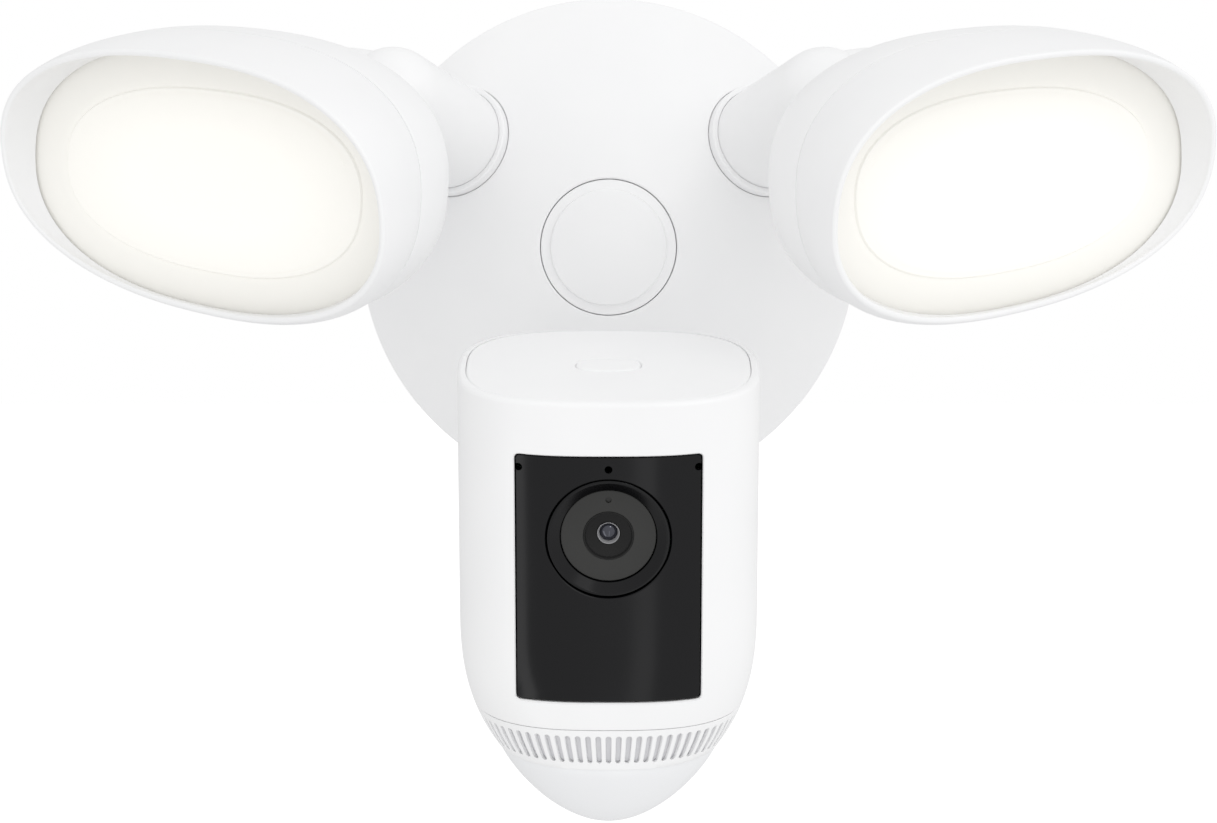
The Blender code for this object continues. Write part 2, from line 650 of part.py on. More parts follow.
def window_prism(grow, front, rear):
    """Block over the window, with rounded corners, from front to rear along Y."""
    low = Vector((-WINDOW_HALF - grow, -WINDOW_BOTTOM - grow))
    high = Vector((WINDOW_HALF + grow, -WINDOW_TOP + grow))
    radius = 1.0 + max(grow, 0.0)
    outline = []
    for x, z, start in ((high.x - radius, high.y - radius, 0), (low.x + radius, high.y - radius, 90),
                        (low.x + radius, low.y + radius, 180), (high.x - radius, low.y + radius, 270)):
        outline += arc((x, z), radius, start, start + 90, 3)
    return loft([[Vector((x, y, z)) for x, z in outline] for y in (front, rear)])


def build_shells(camera, paint):
    joint = SEAM_REAR
    front = add_piece("camera_front_shell", shell_shape(), paint["white"], camera)
    combine(front, "front_half", box((-50, -50, -100), (50, joint - GAP / 2.0, 20)), "INTERSECT")
    combine(front, "window", window_prism(0.0, -50.0, -15.0), "DIFFERENCE")

    rear = add_piece("camera_rear_shell", shell_shape(), paint["white"], camera)
    combine(rear, "rear_half", box((-50, joint + GAP / 2.0, -100), (50, 50, 20)), "INTERSECT")
    cup = add_frame("camera_cup", camera,
                    Matrix.Translation(-LID_FROM_BALL) @ lean_x(STEM_LEAN - 90.0 - CAMERA_TILT))
    lip = CUP_CAVITY * math.cos(math.radians(CUP_LIP_ANGLE))
    combine(rear, "cup", cylinder(CUP_RADIUS, -13.5, lip), "UNION", cup)
    lip_angle = 90.0 - CUP_LIP_ANGLE
    mouth = (lip + 6.0) / math.tan(math.radians(lip_angle))
    cavity = turned([(0.0, -20.0), (3.8, -20.0), *arc((0.0, 0.0), CUP_CAVITY, -70, lip_angle, 6),
                     (mouth, lip + 6.0), (0.0, lip + 6.0)], ROUND)
    combine(rear, "cup_cavity", cavity, "DIFFERENCE", cup)
    ring = turned([(CUP_RADIUS + GAP, -4.4), (16.2, -4.4), (16.8, -3.8), (16.8, 3.6), (16.2, 4.2),
                   (CUP_RADIUS + GAP, 4.2)], ROUND, closed=True)
    add_piece("socket_clamp_ring", ring, paint["white"], cup)


def build_lid(camera, paint):
    lid = add_piece("lid", loft([oval(LID_HALF, BODY_POWER, -LID_THICKNESS),
                                 oval(LID_HALF, BODY_POWER, -0.5),
                                 oval((LID_HALF[0] - 0.5, LID_HALF[1] - 0.5), BODY_POWER, 0.0)]),
                    paint["white"], camera)
    hole = (BUTTON_HALF[0] + GAP, BUTTON_HALF[1] + GAP)
    combine(lid, "button_hole", loft([oval(hole, 2.6, z, ROUND) for z in (-6.0, 3.0)]), "DIFFERENCE")
    flange = (BUTTON_HALF[0] + 1.4, BUTTON_HALF[1] + 1.4)
    flange_top = -LID_THICKNESS - GAP
    crown = (BUTTON_HALF[0] - 0.6, BUTTON_HALF[1] - 0.6)
    rings = [(flange, flange_top - 1.2), (flange, flange_top), (BUTTON_HALF, flange_top),
             (BUTTON_HALF, -0.1), (crown, 0.3)]
    add_piece("setup_button", loft([oval(half, 2.6, z, ROUND) for half, z in rings]),
              paint["white"], camera)
    switch = [circle(2.6, flange_top - 5.5, 12), circle(2.6, flange_top - 2.4, 12)]
    add_piece("button_switch", loft(switch), paint["block"], camera)


def build_window(camera, paint):
    plate = add_piece("faceplate", body_core(0.5), paint["black"], camera)
    combine(plate, "outline", window_prism(-0.25, -50.0, -15.0), "INTERSECT")
    flange = add_piece("faceplate.flange", body_core(BODY_WALL + GAP), None, camera)
    flange.hide_render = True
    flange.display_type = "WIRE"
    combine(flange, "outline", window_prism(2.0, -50.0, -15.0), "INTERSECT")
    joined = plate.modifiers.new("flange", "BOOLEAN")
    joined.operation = "UNION"
    joined.object = flange
    combine(plate, "hollow", body_core(BODY_WALL + GAP + 1.3), "DIFFERENCE")
    lens = add_frame("camera_lens_axis", camera,
                     Matrix.Translation((0.0, 0.0, -LENS_DEPTH)) @ lean_x(90.0))
    combine(plate, "lens_hole", cylinder(14.3, 10.0, 40.0), "DIFFERENCE", lens)
    microphone = moved(cylinder(0.9, 10.0, 40.0, 8), Matrix.Translation((0, LENS_DEPTH - 15.9, 0)))
    combine(plate, "microphone_hole", microphone, "DIFFERENCE", lens)
    build_optics(lens, paint)


def build_optics(lens, paint):
    """Ring, barrel, glass and sensor, turned about the lens axis; heights from the body's axis."""
    ring = turned([(11.1, 24.6), (14.0, 24.6), (14.0, 28.6), (13.6, 28.9), (11.1, 27.2)],
                  ROUND, closed=True)
    add_piece("lens_trim_ring", ring, paint["black"], lens)
    barrel = turned([(3.0, 12.0), (7.5, 12.0), (7.5, 21.0), (10.8, 21.0), (10.8, 26.4),
                     (10.4, 26.8), (5.9, 26.8), (5.4, 26.2), (3.0, 23.6)], ROUND, closed=True)
    add_piece("lens_barrel", barrel, paint["grey"], lens)
    glass = turned([(0.0, 21.8), (2.7, 21.8), (2.7, 23.4), *arc((0.0, 21.9), 2.7, 40, 75, 2),
                    (0.0, 24.7)], SMALL_ROUND)
    add_piece("lens_glass", glass, paint["glass"], lens)
    add_piece("image_sensor_board", box((-14, -11, 9.5), (14, 11, 11.1)), paint["board"], lens)
    add_piece("image_sensor", box((-4.5, -3.5, 11.4), (4.5, 3.5, 11.7)), paint["block"], lens)


def build_camera_inside(camera, paint):
    add_piece("main_board", box((-24, 12, -70), (24, 13.6, -12)), paint["board"], camera)
    speaker_top = -72.0
    speaker = turned([(0.0, 0.0), (9.0, 0.0), (9.0, -4.0), (15.0, -7.0), (15.0, -9.5),
                      (13.5, -9.5), (6.0, -7.5), (0.0, -7.5)], 24)
    moved(speaker, Matrix.Translation((0.0, -2.0, speaker_top)))
    add_piece("speaker", speaker, paint["block"], camera)
    sensor_board = cylinder(12.0, -92.8, -91.4, 24)
    add_piece("sensor_board", sensor_board, paint["board"], camera)
    can = turned([(0.0, -98.0), (4.3, -98.0), (4.6, -97.7), (4.6, -93.1), (0.0, -93.1)], SMALL_ROUND)
    add_piece("motion_sensor", can, paint["steel"], camera)


def even_points(ring, shares):
    """Points at the given shares of a ring's length, measured from its first point."""
    lengths = [0.0]
    for here, there in zip(ring, ring[1:] + ring[:1]):
        lengths.append(lengths[-1] + (there - here).length)
    points = []
    for share in shares:
        target = (share % 1.0) * lengths[-1]
        k = max(i for i in range(len(ring)) if lengths[i] <= target)
        part = (target - lengths[k]) / (lengths[k + 1] - lengths[k])
        points.append(ring[k].lerp(ring[(k + 1) % len(ring)], part))
    return points


def grille_shape():
    """Slotted band. Odd columns are bars and even columns are slots between two solid strips."""
    depths = (GRILLE_TOP + GAP / 2.0, SLOT_TOP, SLOT_BOTTOM, GRILLE_BOTTOM)
    shares = []
    for k in range(SLOT_COUNT):
        middle = (k + 0.5) / SLOT_COUNT
        half = SLOT_SHARE / (2.0 * SLOT_COUNT)
        shares += [middle - half, middle + half]
    shape = bmesh.new()
    outer = []
    inner = []
    for depth in depths:
        for columns, inset in ((outer, 0.0), (inner, 2.0)):
            ring = even_points(body_ring(depth, inset), shares)
            columns.append([shape.verts.new(point) for point in ring])
    count = len(shares)
    for k in range(count):
        after = (k + 1) % count
        for row in range(3):
            is_slot = row == 1 and k % 2 == 0
            for wall in (outer, inner):
                if not is_slot:
                    shape.faces.new((wall[row][k], wall[row][after],
                                     wall[row + 1][after], wall[row + 1][k]))
            if is_slot:
                for a, b in (((row, k), (row, after)), ((row, after), (row + 1, after)),
                             ((row + 1, after), (row + 1, k)), ((row + 1, k), (row, k))):
                    shape.faces.new((outer[a[0]][a[1]], outer[b[0]][b[1]],
                                     inner[b[0]][b[1]], inner[a[0]][a[1]]))
        for row in (0, 3):
            shape.faces.new((outer[row][k], outer[row][after], inner[row][after], inner[row][k]))
    return shape


def sensor_dome_shape():
    """Rounded cone below the grille, as a thin shell that is open at the top."""
    top = GRILLE_BOTTOM + GAP
    drop = DOME_TIP - top
    def wall(inset, shares):
        rings = []
        for share in shares:
            reach = (1.0 - share ** 1.22) ** (1.0 / 1.8)
            half = (26.6 * reach - inset, 25.2 * reach - inset)
            depth = top + share * (drop - inset)
            rings.append(oval(half, 2.0 + 0.25 * (1.0 - share), -depth, ROUND))
        return rings
    shares = [0.0, 0.25, 0.5, 0.72, 0.87, 0.97]
    inner = [[Vector((0.0, 0.0, -DOME_TIP + 1.2))], *reversed(wall(1.2, shares[:-1]))]
    outer = [*wall(0.0, shares), [Vector((0.0, 0.0, -DOME_TIP))]]
    return loft([*inner, *outer])


def build_ball_joint(base, paint):
    """The stem stands in the bottom socket; the liner turns with the camera unit's pan."""
    socket = add_frame("stem_socket", base, socket_place(STEM_LEAN, -90.0))
    add_piece("collar_stem", collar_shape(), paint["white"], socket)
    add_piece("stem_seal", seal_shape(), paint["rubber"], socket)
    add_piece("stem_lock_nut", nut_shape(), paint["steel"], socket)
    foot = SOCKET_FLOOR + 2.0 * GAP + 0.8
    neck_angle = math.degrees(math.acos(NECK_RADIUS / BALL_RADIUS))
    bore_angle = math.degrees(math.acos(STEM_BORE / BALL_RADIUS))
    ball = arc((0.0, STEM_LENGTH), BALL_RADIUS, -neck_angle, bore_angle, 7)
    neck_end = ball[0][1]
    profile = [(STEM_BORE, SHANK_END), (SHANK_RADIUS, SHANK_END), (SHANK_RADIUS, foot),
               (ARM_ROOT_RADIUS, foot), (ARM_ROOT_RADIUS, 2.0), (12.4, 12.0), (9.6, 22.0),
               (6.2, 30.5), (NECK_RADIUS, 34.5), (NECK_RADIUS, neck_end - GAP),
               (STEM_BORE, neck_end - GAP)]
    add_piece("camera_stem", turned(profile, 20, closed=True), paint["white"], socket)
    add_piece("stem_ball", turned([(STEM_BORE, neck_end), *ball], 20, closed=True),
              paint["white"], socket)

    centre = socket_place(STEM_LEAN, -90.0) @ Vector((0.0, 0.0, STEM_LENGTH))
    upright = lean_x(-90.0)
    pan = add_frame("camera_pan", base, Matrix.Translation(centre) @ upright)
    liner_axis = add_frame("liner_axis", pan, lean_x(STEM_LEAN - 90.0))
    lip = 90.0 - CUP_LIP_ANGLE - 2.0
    profile = [*arc((0.0, 0.0), LINER_RADII[0], -70, lip, 5),
               *arc((0.0, 0.0), LINER_RADII[1], lip, -70, 5)]
    add_piece("ball_liner", turned(profile, 20, closed=True), paint["liner"], liner_axis)
    return add_frame("camera_tilt", pan, lean_x(CAMERA_TILT))


def build_camera(tilt, paint):
    camera = add_frame("camera_frame", tilt, Matrix.Translation(LID_FROM_BALL))
    build_shells(camera, paint)
    build_lid(camera, paint)
    build_window(camera, paint)
    build_camera_inside(camera, paint)
    add_piece("grille_ring", grille_shape(), paint["white"], camera)
    add_piece("sensor_dome", sensor_dome_shape(), paint["dome"], camera)


def main():
    clear_scene()
    paint = make_materials()
    base = add_frame("base", None, lean_x(90.0))
    build_base(base, paint)
    for word, side in (("left", -1), ("right", 1)):
        pivot = build_arm(word, side, base, paint)
        build_lamp(word, side, pivot, paint)
    build_camera(build_ball_joint(base, paint), paint)


main()
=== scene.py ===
"""Looks of a floodlight security camera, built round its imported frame.

Fine meshes and node-based materials stand in for the plain solids, each in its solid's own place.
Lengths are in millimetres, and make_object turns them into metres.
World frame: +Z up, the wall is the plane Y = 0, and the object stands out from it towards -Y.
"""

import json
import math

import bmesh
import bpy
import numpy as np
from mathutils import Matrix, Vector


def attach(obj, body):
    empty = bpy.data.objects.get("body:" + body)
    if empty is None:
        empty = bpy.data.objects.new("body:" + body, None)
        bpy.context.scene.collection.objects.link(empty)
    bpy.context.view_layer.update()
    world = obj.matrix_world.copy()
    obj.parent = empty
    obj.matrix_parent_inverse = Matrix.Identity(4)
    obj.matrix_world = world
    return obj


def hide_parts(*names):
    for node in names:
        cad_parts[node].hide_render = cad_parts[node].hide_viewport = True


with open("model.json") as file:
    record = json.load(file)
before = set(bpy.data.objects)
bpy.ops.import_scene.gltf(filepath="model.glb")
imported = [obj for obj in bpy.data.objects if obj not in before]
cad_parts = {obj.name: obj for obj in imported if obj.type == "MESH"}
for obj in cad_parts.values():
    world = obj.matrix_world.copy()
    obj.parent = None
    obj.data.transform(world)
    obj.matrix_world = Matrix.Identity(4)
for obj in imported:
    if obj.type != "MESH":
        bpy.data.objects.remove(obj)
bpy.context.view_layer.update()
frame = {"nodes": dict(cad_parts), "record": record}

RECORD = frame["record"]
BODY_OF = {node: body for body, nodes in RECORD["behaviour"]["bodies"].items() for node in nodes}
SLOT_OF = {part["node"]: part["material_slot"] for part in RECORD["subparts"]}

MM = 0.001
GAP = 0.3                        # air between pieces that touch, out of sight
SEAM = 0.05                      # air in the joints that show
ROUND = 96                       # sides of a turned piece
SMALL_ROUND = 40                 # sides of screws, bores and other small turned pieces
OVAL = 128                       # points round a lamp or the camera unit
ARC_STEPS = 4                    # segments of a rounded edge
SHARP_ANGLE = math.radians(32.0)
HEX_SOCKET = 2.3                 # corner radius of the sockets in the screw heads

# Base
BASE_RADIUS = 64.0
DOME_RADIUS = 92.0               # sphere that the front of the base follows
DOME_FRONT = 31.8
COVER_WALL = 2.2
COVER_REAR = 1.0
WELL_RADIUS = 17.25
WELL_FLOOR = 24.7
CAP_RADIUS = 17.1
CAP_FACE_RADIUS = 14.5
BOLT_RADIUS = 3.0
PLATE_RADIUS = 61.3
PLATE_REAR = 2.3
PLATE_FRONT = 4.3
GASKET_INNER = 55.0
GASKET_THICKNESS = 2.0
BRACKET_HALF = (48.0, 11.0)
BRACKET_SLOT_PLACE = 32.0
BRACKET_THICKNESS = 1.8
WIRE_HOLE_RISE = 24.0

# Sockets, arms and knuckles
SOCKET_LEAN = 31.3
ARM_RISE = 34.8
STEM_LEAN = 30.0
SOCKET_RADIUS = 14.8
SOCKET_FLOOR = -1.6
SOCKET_INSIDE = -5.0
COLLAR_RADIUS = 14.66
SHANK_RADIUS = 6.9
SHANK_END = -10.6
ARM_ROOT_RADIUS = 13.2
KNUCKLE_RADIUS = 12.5
ARM_LENGTH = 33.0
KNUCKLE_FACE = 5.5
EAR_OUTER = 14.0
EAR_RADIUS = 10.8
PIVOT_SCREW_RADIUS = 2.2
SCREW_HEAD_RADIUS = 5.0
SCREW_HEAD_SEAT = 10.5
NUT_FLAT = 3.5

# Lamp heads: X to the outer end, Y up and Z forward, from the middle of the rim
LAMP_YAW = 26.1
LAMP_PITCH = 8.8
LAMP_ROLL = 8.4
LAMP_FROM_KNUCKLE = Vector((15.4, -14.3, 70.6))
LAMP_POWER = 2.35
LAMP_EGG = -0.05
RIM_HALF = (54.85, 32.0)
RIM_LEAN = (-0.069, 0.237)
LIP_RADIUS = 0.8
LENS_HALF = (49.8, 31.0)
LENS_FACE = -11.6
LENS_PANE_HALF = (40.9, 22.1)
PANE_RISE = -0.7
GLOW = ((0.55, 0.97, 1.04, 1.22, 1.45), (1.0, 0.68, 0.45, 0.25, 0.0))   # by share of the pane
SEAM_HALF = (53.8, 33.8)
SEAM_RISE = 0.9
SEAM_DEPTH = -16.0
BOWL_DEPTH = 44.0
BOWL_POWER = 2.6
HOUSING_WALL = 2.2

# Camera unit: X to the right, Y to the rear and Z up its own axis, from the middle of the lid
CAMERA_TILT = 15.0
BODY_HALF = (35.0, 30.0)
BODY_POWER = 2.9
BODY_WALL = 2.2
TAPER_START = 58.0
SEAM_REAR = 8.0
LID_HALF = (33.0, 28.6)
LID_THICKNESS = 2.5
BUTTON_HALF = (7.6, 5.2)
WINDOW_HALF = 21.35
WINDOW_TOP = 12.7
WINDOW_BOTTOM = 72.6
WINDOW_CORNER = 0.9
PLATE_INSET = 0.5                # the window plate lies this far inside the shell's outside
LENS_DEPTH = 32.6
LENS_HOLE = 14.3
MICROPHONE_RISE = 16.7           # above the lens axis
MICROPHONE_RADIUS = 0.9
GRILLE_TOP = 79.8
GRILLE_BOTTOM = 90.9
SLOT_TOP = 81.4
SLOT_BOTTOM = 88.9
SLOT_COUNT = 82
SLOT_SHARE = 0.55
GRILLE_WALL = 0.9
DOME_TIP = 113.47
DOME_HALF = (26.6, 25.2)
DOME_CORNER = 0.2

# Ball joint of the camera unit
STEM_LENGTH = 44.4
STEM_BORE = 2.6
NECK_RADIUS = 4.5
BALL_RADIUS = 9.0
LINER_RADII = (9.3, 10.8)
CUP_CAVITY = 11.1
CUP_RADIUS = 14.0
CUP_LIP_ANGLE = 62.0
RING_RADIUS = 16.8
RING_FLUTES = 28
LID_FROM_BALL = Vector((0.0, -39.6, 53.0))

# Picture: a long lens one metre in front of the wall
CAMERA_DISTANCE = 1.0
CAMERA_LENS = 113.6
CAMERA_DIP = 2.45                # degrees that it looks down
FLOOR_HEIGHT = -2.5
STUDIO = 0.935                   # light from all round, where white paper is 1
LEAN_OF_LIGHT = (0.07, -0.18, 0.03)   # what the light gains towards each axis


# --- Shapes: a shape is its points and its faces ---------------------------------------------

def unit(vector):
    return vector / np.linalg.norm(vector)


def circle(radius, height, count=ROUND):
    angles = 2.0 * math.pi * np.arange(count) / count
    return np.column_stack([radius * np.cos(angles), radius * np.sin(angles),
                            np.full(count, height)])


def oval(half, power, height, count=OVAL, egg=0.0, rise=0.0, lean=(0.0, 0.0)):
    """A superellipse. Egg narrows it towards +X, rise lifts it in Y, and lean slopes its height."""
    angles = 2.0 * math.pi * np.arange(count) / count
    c = np.cos(angles)
    s = np.sin(angles)
    reach = (np.abs(c) ** power + np.abs(s) ** power) ** (-1.0 / power)
    x = half[0] * c * reach
    y = half[1] * s * reach * (1.0 + egg * x / half[0])
    return np.column_stack([x, y + rise, height + lean[0] * x + lean[1] * y])


def loft(rings, closed=False, caps=True):
    """Skin ring to ring. The ends are capped, or joined to each other when closed."""
    rings = [np.atleast_2d(ring) for ring in rings]
    starts = np.cumsum([0] + [len(ring) for ring in rings])
    pairs = [(k, k + 1) for k in range(len(rings) - 1)]
    if closed:
        pairs.append((len(rings) - 1, 0))
    faces = []
    for low, high in pairs:
        a, m = starts[low], len(rings[low])
        b, n = starts[high], len(rings[high])
        for k in range(max(m, n)):
            corners = (a + k % m, a + (k + 1) % m, b + (k + 1) % n, b + k % n)
            faces.append(tuple(dict.fromkeys(int(c) for c in corners)))
    if caps and not closed:
        for end in (0, len(rings) - 1):
            if len(rings[end]) > 2:
                faces.append(tuple(int(starts[end]) + k for k in range(len(rings[end]))))
    return np.vstack(rings), faces


def turned(profile, count=ROUND, closed=False):
    """Turn a profile of (radius, height) points about Z."""
    rings = [circle(r, z, count) if r > 1e-6 else np.array([[0.0, 0.0, z]]) for r, z in profile]
    return loft(rings, closed)


def cylinder(radius, low, high, count=ROUND):
    return loft([circle(radius, low, count), circle(radius, high, count)])


def block(low, high):
    x0, y0, z0 = low
    x1, y1, z1 = high
    base = np.array([[x0, y0, z0], [x1, y0, z0], [x1, y1, z0], [x0, y1, z0]])
    return loft([base, base + (0.0, 0.0, z1 - z0)])


def merged(shapes):
    points = []
    faces = []
    start = 0
    for shape_points, shape_faces in shapes:
        points.append(shape_points)
        faces += [tuple(start + k for k in face) for face in shape_faces]
        start += len(shape_points)
    return np.vstack(points), faces


def moved(shape, matrix):
    points, faces = shape
    turn = np.array(matrix.to_3x3())
    return points @ turn.T + np.array(matrix.translation), faces


def arc(centre, radius, start, end, steps):
    """Points round a centre; angles in degrees from the first axis."""
    angles = np.radians(np.linspace(start, end, steps + 1))
    return [(centre[0] + radius * math.cos(a), centre[1] + radius * math.sin(a)) for a in angles]


def rounded(corners, closed=False, steps=ARC_STEPS):
    """Path through (x, y) corners, with an arc at each corner that also gives a radius."""
    path = []
    count = len(corners)
    for k, corner in enumerate(corners):
        here = np.array(corner[:2], float)
        if len(corner) < 3 or (not closed and k in (0, count - 1)):
            path.append(here)
            continue
        before = unit(np.array(corners[k - 1][:2]) - here)
        after = unit(np.array(corners[(k + 1) % count][:2]) - here)
        half = math.acos(float(np.clip(before @ after, -1.0, 1.0))) / 2.0
        centre = here + unit(before + after) * corner[2] / math.sin(half)
        reach = corner[2] / math.tan(half)
        start = here + before * reach - centre
        end = here + after * reach - centre
        for share in np.linspace(0.0, 1.0, steps + 1):
            path.append(centre + corner[2] * unit(start * (1.0 - share) + end * share))
    return path


def spaced(path, count):
    """Evenly spaced points along a closed path."""
    path = np.array(path)
    loop = np.vstack([path, path[:1]])
    lengths = np.concatenate([[0.0], np.cumsum(np.linalg.norm(np.diff(loop, axis=0), axis=1))])
    wanted = lengths[-1] * np.arange(count) / count
    return np.column_stack([np.interp(wanted, lengths, loop[:, k]) for k in range(path.shape[1])])


def turned_loop(corners, count=ROUND):
    """Turn a closed outline of (radius, height, rounding) corners about Z."""
    return turned(rounded(corners, closed=True), count, closed=True)


def rotation(axis, degrees):
    return Matrix.Rotation(math.radians(degrees), 4, axis)


# --- Places, all in world axes ---------------------------------------------------------------

BASE = rotation("X", 90.0)
TO_AXIS_X = rotation("Y", 90.0)


def socket_place(lean, bearing):
    """Frame on the dome's surface; Z points out, bearing is from +X to up."""
    rise = Matrix.Translation((0.0, 0.0, DOME_FRONT - DOME_RADIUS))
    out = Matrix.Translation((0.0, 0.0, DOME_RADIUS))
    return BASE @ rise @ rotation("Z", bearing) @ rotation("Y", lean) @ out


ARM = socket_place(SOCKET_LEAN, ARM_RISE)
PIVOT = (Matrix.Translation(ARM @ Vector((0.0, 0.0, ARM_LENGTH))) @ BASE
         @ rotation("Y", LAMP_YAW) @ rotation("X", LAMP_PITCH) @ rotation("Z", LAMP_ROLL))
LAMP = PIVOT @ Matrix.Translation(LAMP_FROM_KNUCKLE)
STEM = socket_place(STEM_LEAN, -90.0)
BALL = Matrix.Translation(STEM @ Vector((0.0, 0.0, STEM_LENGTH)))
UNIT = BALL @ rotation("X", CAMERA_TILT) @ Matrix.Translation(LID_FROM_BALL)
CUP = BALL @ rotation("X", STEM_LEAN - 90.0)
LENS = UNIT @ Matrix.Translation((0.0, 0.0, -LENS_DEPTH)) @ rotation("X", 90.0)


def dome_height(radius, sphere=DOME_RADIUS):
    return DOME_FRONT - DOME_RADIUS + math.sqrt(sphere ** 2 - radius ** 2)


# --- Objects ---------------------------------------------------------------------------------

def make_object(name, shape, place, side=1):
    """Object in world axes. Side -1 mirrors it in the plane X = 0."""
    points, faces = moved(shape, place)
    mesh = bpy.data.meshes.new(name)
    mesh.from_pydata((points * (side * MM, MM, MM)).tolist(), [], faces)
    work = bmesh.new()
    work.from_mesh(mesh)
    bmesh.ops.remove_doubles(work, verts=work.verts, dist=0.001 * MM)
    bmesh.ops.recalc_face_normals(work, faces=work.faces)
    work.to_mesh(mesh)
    work.free()
    mesh.shade_smooth()
    piece = bpy.data.objects.new(name, mesh)
    bpy.context.scene.collection.objects.link(piece)
    return piece


def carve(piece, shape, place, operation="DIFFERENCE", side=1):
    tool = make_object("tool", shape, place, side)
    boolean = piece.modifiers.new("cut", "BOOLEAN")
    boolean.operation = operation
    boolean.object = tool
    depsgraph = bpy.context.evaluated_depsgraph_get()
    result = bpy.data.meshes.new_from_object(piece.evaluated_get(depsgraph))
    piece.modifiers.clear()
    piece.data = result
    bpy.data.objects.remove(tool, do_unlink=True)


def show(piece, node, material):
    """Put a finished piece in the place of its CAD node."""
    piece.name = f"fine_{node}"
    piece.data.set_sharp_from_angle(angle=SHARP_ANGLE)
    weighted = piece.modifiers.new("normals", "WEIGHTED_NORMAL")
    weighted.keep_sharp = True
    piece.data.materials.clear()
    piece.data.materials.append(material)
    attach(piece, BODY_OF[node])
    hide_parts(node)


def add(node, shape, place, material, side=1):
    show(make_object(node, shape, place, side), node, material)


def add_extra(name, shape, place, material):
    """Piece of the camera unit that stands for no CAD node."""
    piece = make_object(name, shape, place)
    piece.data.set_sharp_from_angle(angle=SHARP_ANGLE)
    piece.data.materials.append(material)
    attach(piece, "camera")


# --- Materials -------------------------------------------------------------------------------

NOISE_SPAN = (0.3, 0.7)          # most of a noise lies between these
COLOUR_WAVES = 28.0              # slow drift of colour, in waves per metre
GLOSS_WAVES = 90.0
GLOSS_SPREAD = 0.04


def start_material(name, colour, roughness, metallic=0.0):
    material = bpy.data.materials.new(name)
    material.use_nodes = True
    shader = material.node_tree.nodes["Principled BSDF"]
    shader.inputs["Base Color"].default_value = (*colour, 1.0)
    shader.inputs["Roughness"].default_value = roughness
    shader.inputs["Metallic"].default_value = metallic
    return material, shader


def add_node(tree, kind, settings=None, values=None):
    node = tree.nodes.new(f"ShaderNode{kind}")
    for key, value in (settings or {}).items():
        setattr(node, key, value)
    for key, value in (values or {}).items():
        node.inputs[key].default_value = value
    return node


def add_noise(tree, scale, detail=2.0, stretch=(1.0, 1.0, 1.0)):
    """Noise in the piece's own axes; scale is in waves per metre."""
    place = add_node(tree, "TexCoord")
    mapping = add_node(tree, "Mapping", None, {"Scale": stretch})
    noise = add_node(tree, "TexNoise", None, {"Scale": scale, "Detail": detail})
    tree.links.new(place.outputs["Object"], mapping.inputs["Vector"])
    tree.links.new(mapping.outputs["Vector"], noise.inputs["Vector"])
    return noise.outputs[0]


def vary_roughness(tree, shader, source, low, high):
    span = add_node(tree, "MapRange", None, {"From Min": NOISE_SPAN[0], "From Max": NOISE_SPAN[1],
                                             "To Min": low, "To Max": high})
    tree.links.new(source, span.inputs["Value"])
    tree.links.new(span.outputs["Result"], shader.inputs["Roughness"])


def vary_colour(tree, shader, source, low, high):
    ramp = add_node(tree, "ValToRGB")
    for element, position, colour in zip(ramp.color_ramp.elements, NOISE_SPAN, (low, high)):
        element.position = position
        element.color = (*colour, 1.0)
    tree.links.new(source, ramp.inputs["Fac"])
    tree.links.new(ramp.outputs["Color"], shader.inputs["Base Color"])


def add_bump(tree, shader, source, depth):
    bump = add_node(tree, "Bump", None, {"Strength": 1.0, "Distance": depth * MM})
    tree.links.new(source, bump.inputs["Height"])
    tree.links.new(bump.outputs["Normal"], shader.inputs["Normal"])


def moulded(name, low, high, roughness, grain, depth, level=0.5):
    """Moulded plastic: a fine spark-eroded grain, and slight drift of colour and gloss."""
    material, shader = start_material(name, high, roughness)
    tree = material.node_tree
    shader.inputs["Specular IOR Level"].default_value = level
    vary_colour(tree, shader, add_noise(tree, COLOUR_WAVES, 3.0), low, high)
    vary_roughness(tree, shader, add_noise(tree, GLOSS_WAVES),
                   roughness - GLOSS_SPREAD, roughness + GLOSS_SPREAD)
    add_bump(tree, shader, add_noise(tree, grain, 3.0), depth)
    return material


def metal(name, low, high, roughness, stretch, scale=900.0):
    """Metal with fine lines along the direction that is not stretched."""
    material, shader = start_material(name, high, roughness, metallic=1.0)
    tree = material.node_tree
    lines = add_noise(tree, scale, 3.0, stretch)
    vary_colour(tree, shader, add_noise(tree, 60.0, 4.0), low, high)
    vary_roughness(tree, shader, lines, roughness - 0.08, roughness + 0.10)
    add_bump(tree, shader, lines, 0.012)
    return material


def make_diffuser():
    """Frosted lens, lit from behind. The attribute glow is 1 over the pane and falls to its rim."""
    material, shader = start_material("lamp_diffuser", (0.85, 0.84, 0.805), 0.42)
    tree = material.node_tree
    glow = add_node(tree, "Attribute", {"attribute_name": "glow"})
    ramp = add_node(tree, "ValToRGB")
    ramp.color_ramp.elements[0].color = (0.02, 0.019, 0.015, 1.0)
    ramp.color_ramp.elements[1].color = (0.20, 0.195, 0.18, 1.0)
    tree.links.new(glow.outputs["Fac"], ramp.inputs["Fac"])
    tree.links.new(ramp.outputs["Color"], shader.inputs["Emission Color"])
    shader.inputs["Emission Strength"].default_value = 1.0
    add_bump(tree, shader, add_noise(tree, 1500.0, 2.0), 0.01)
    return material


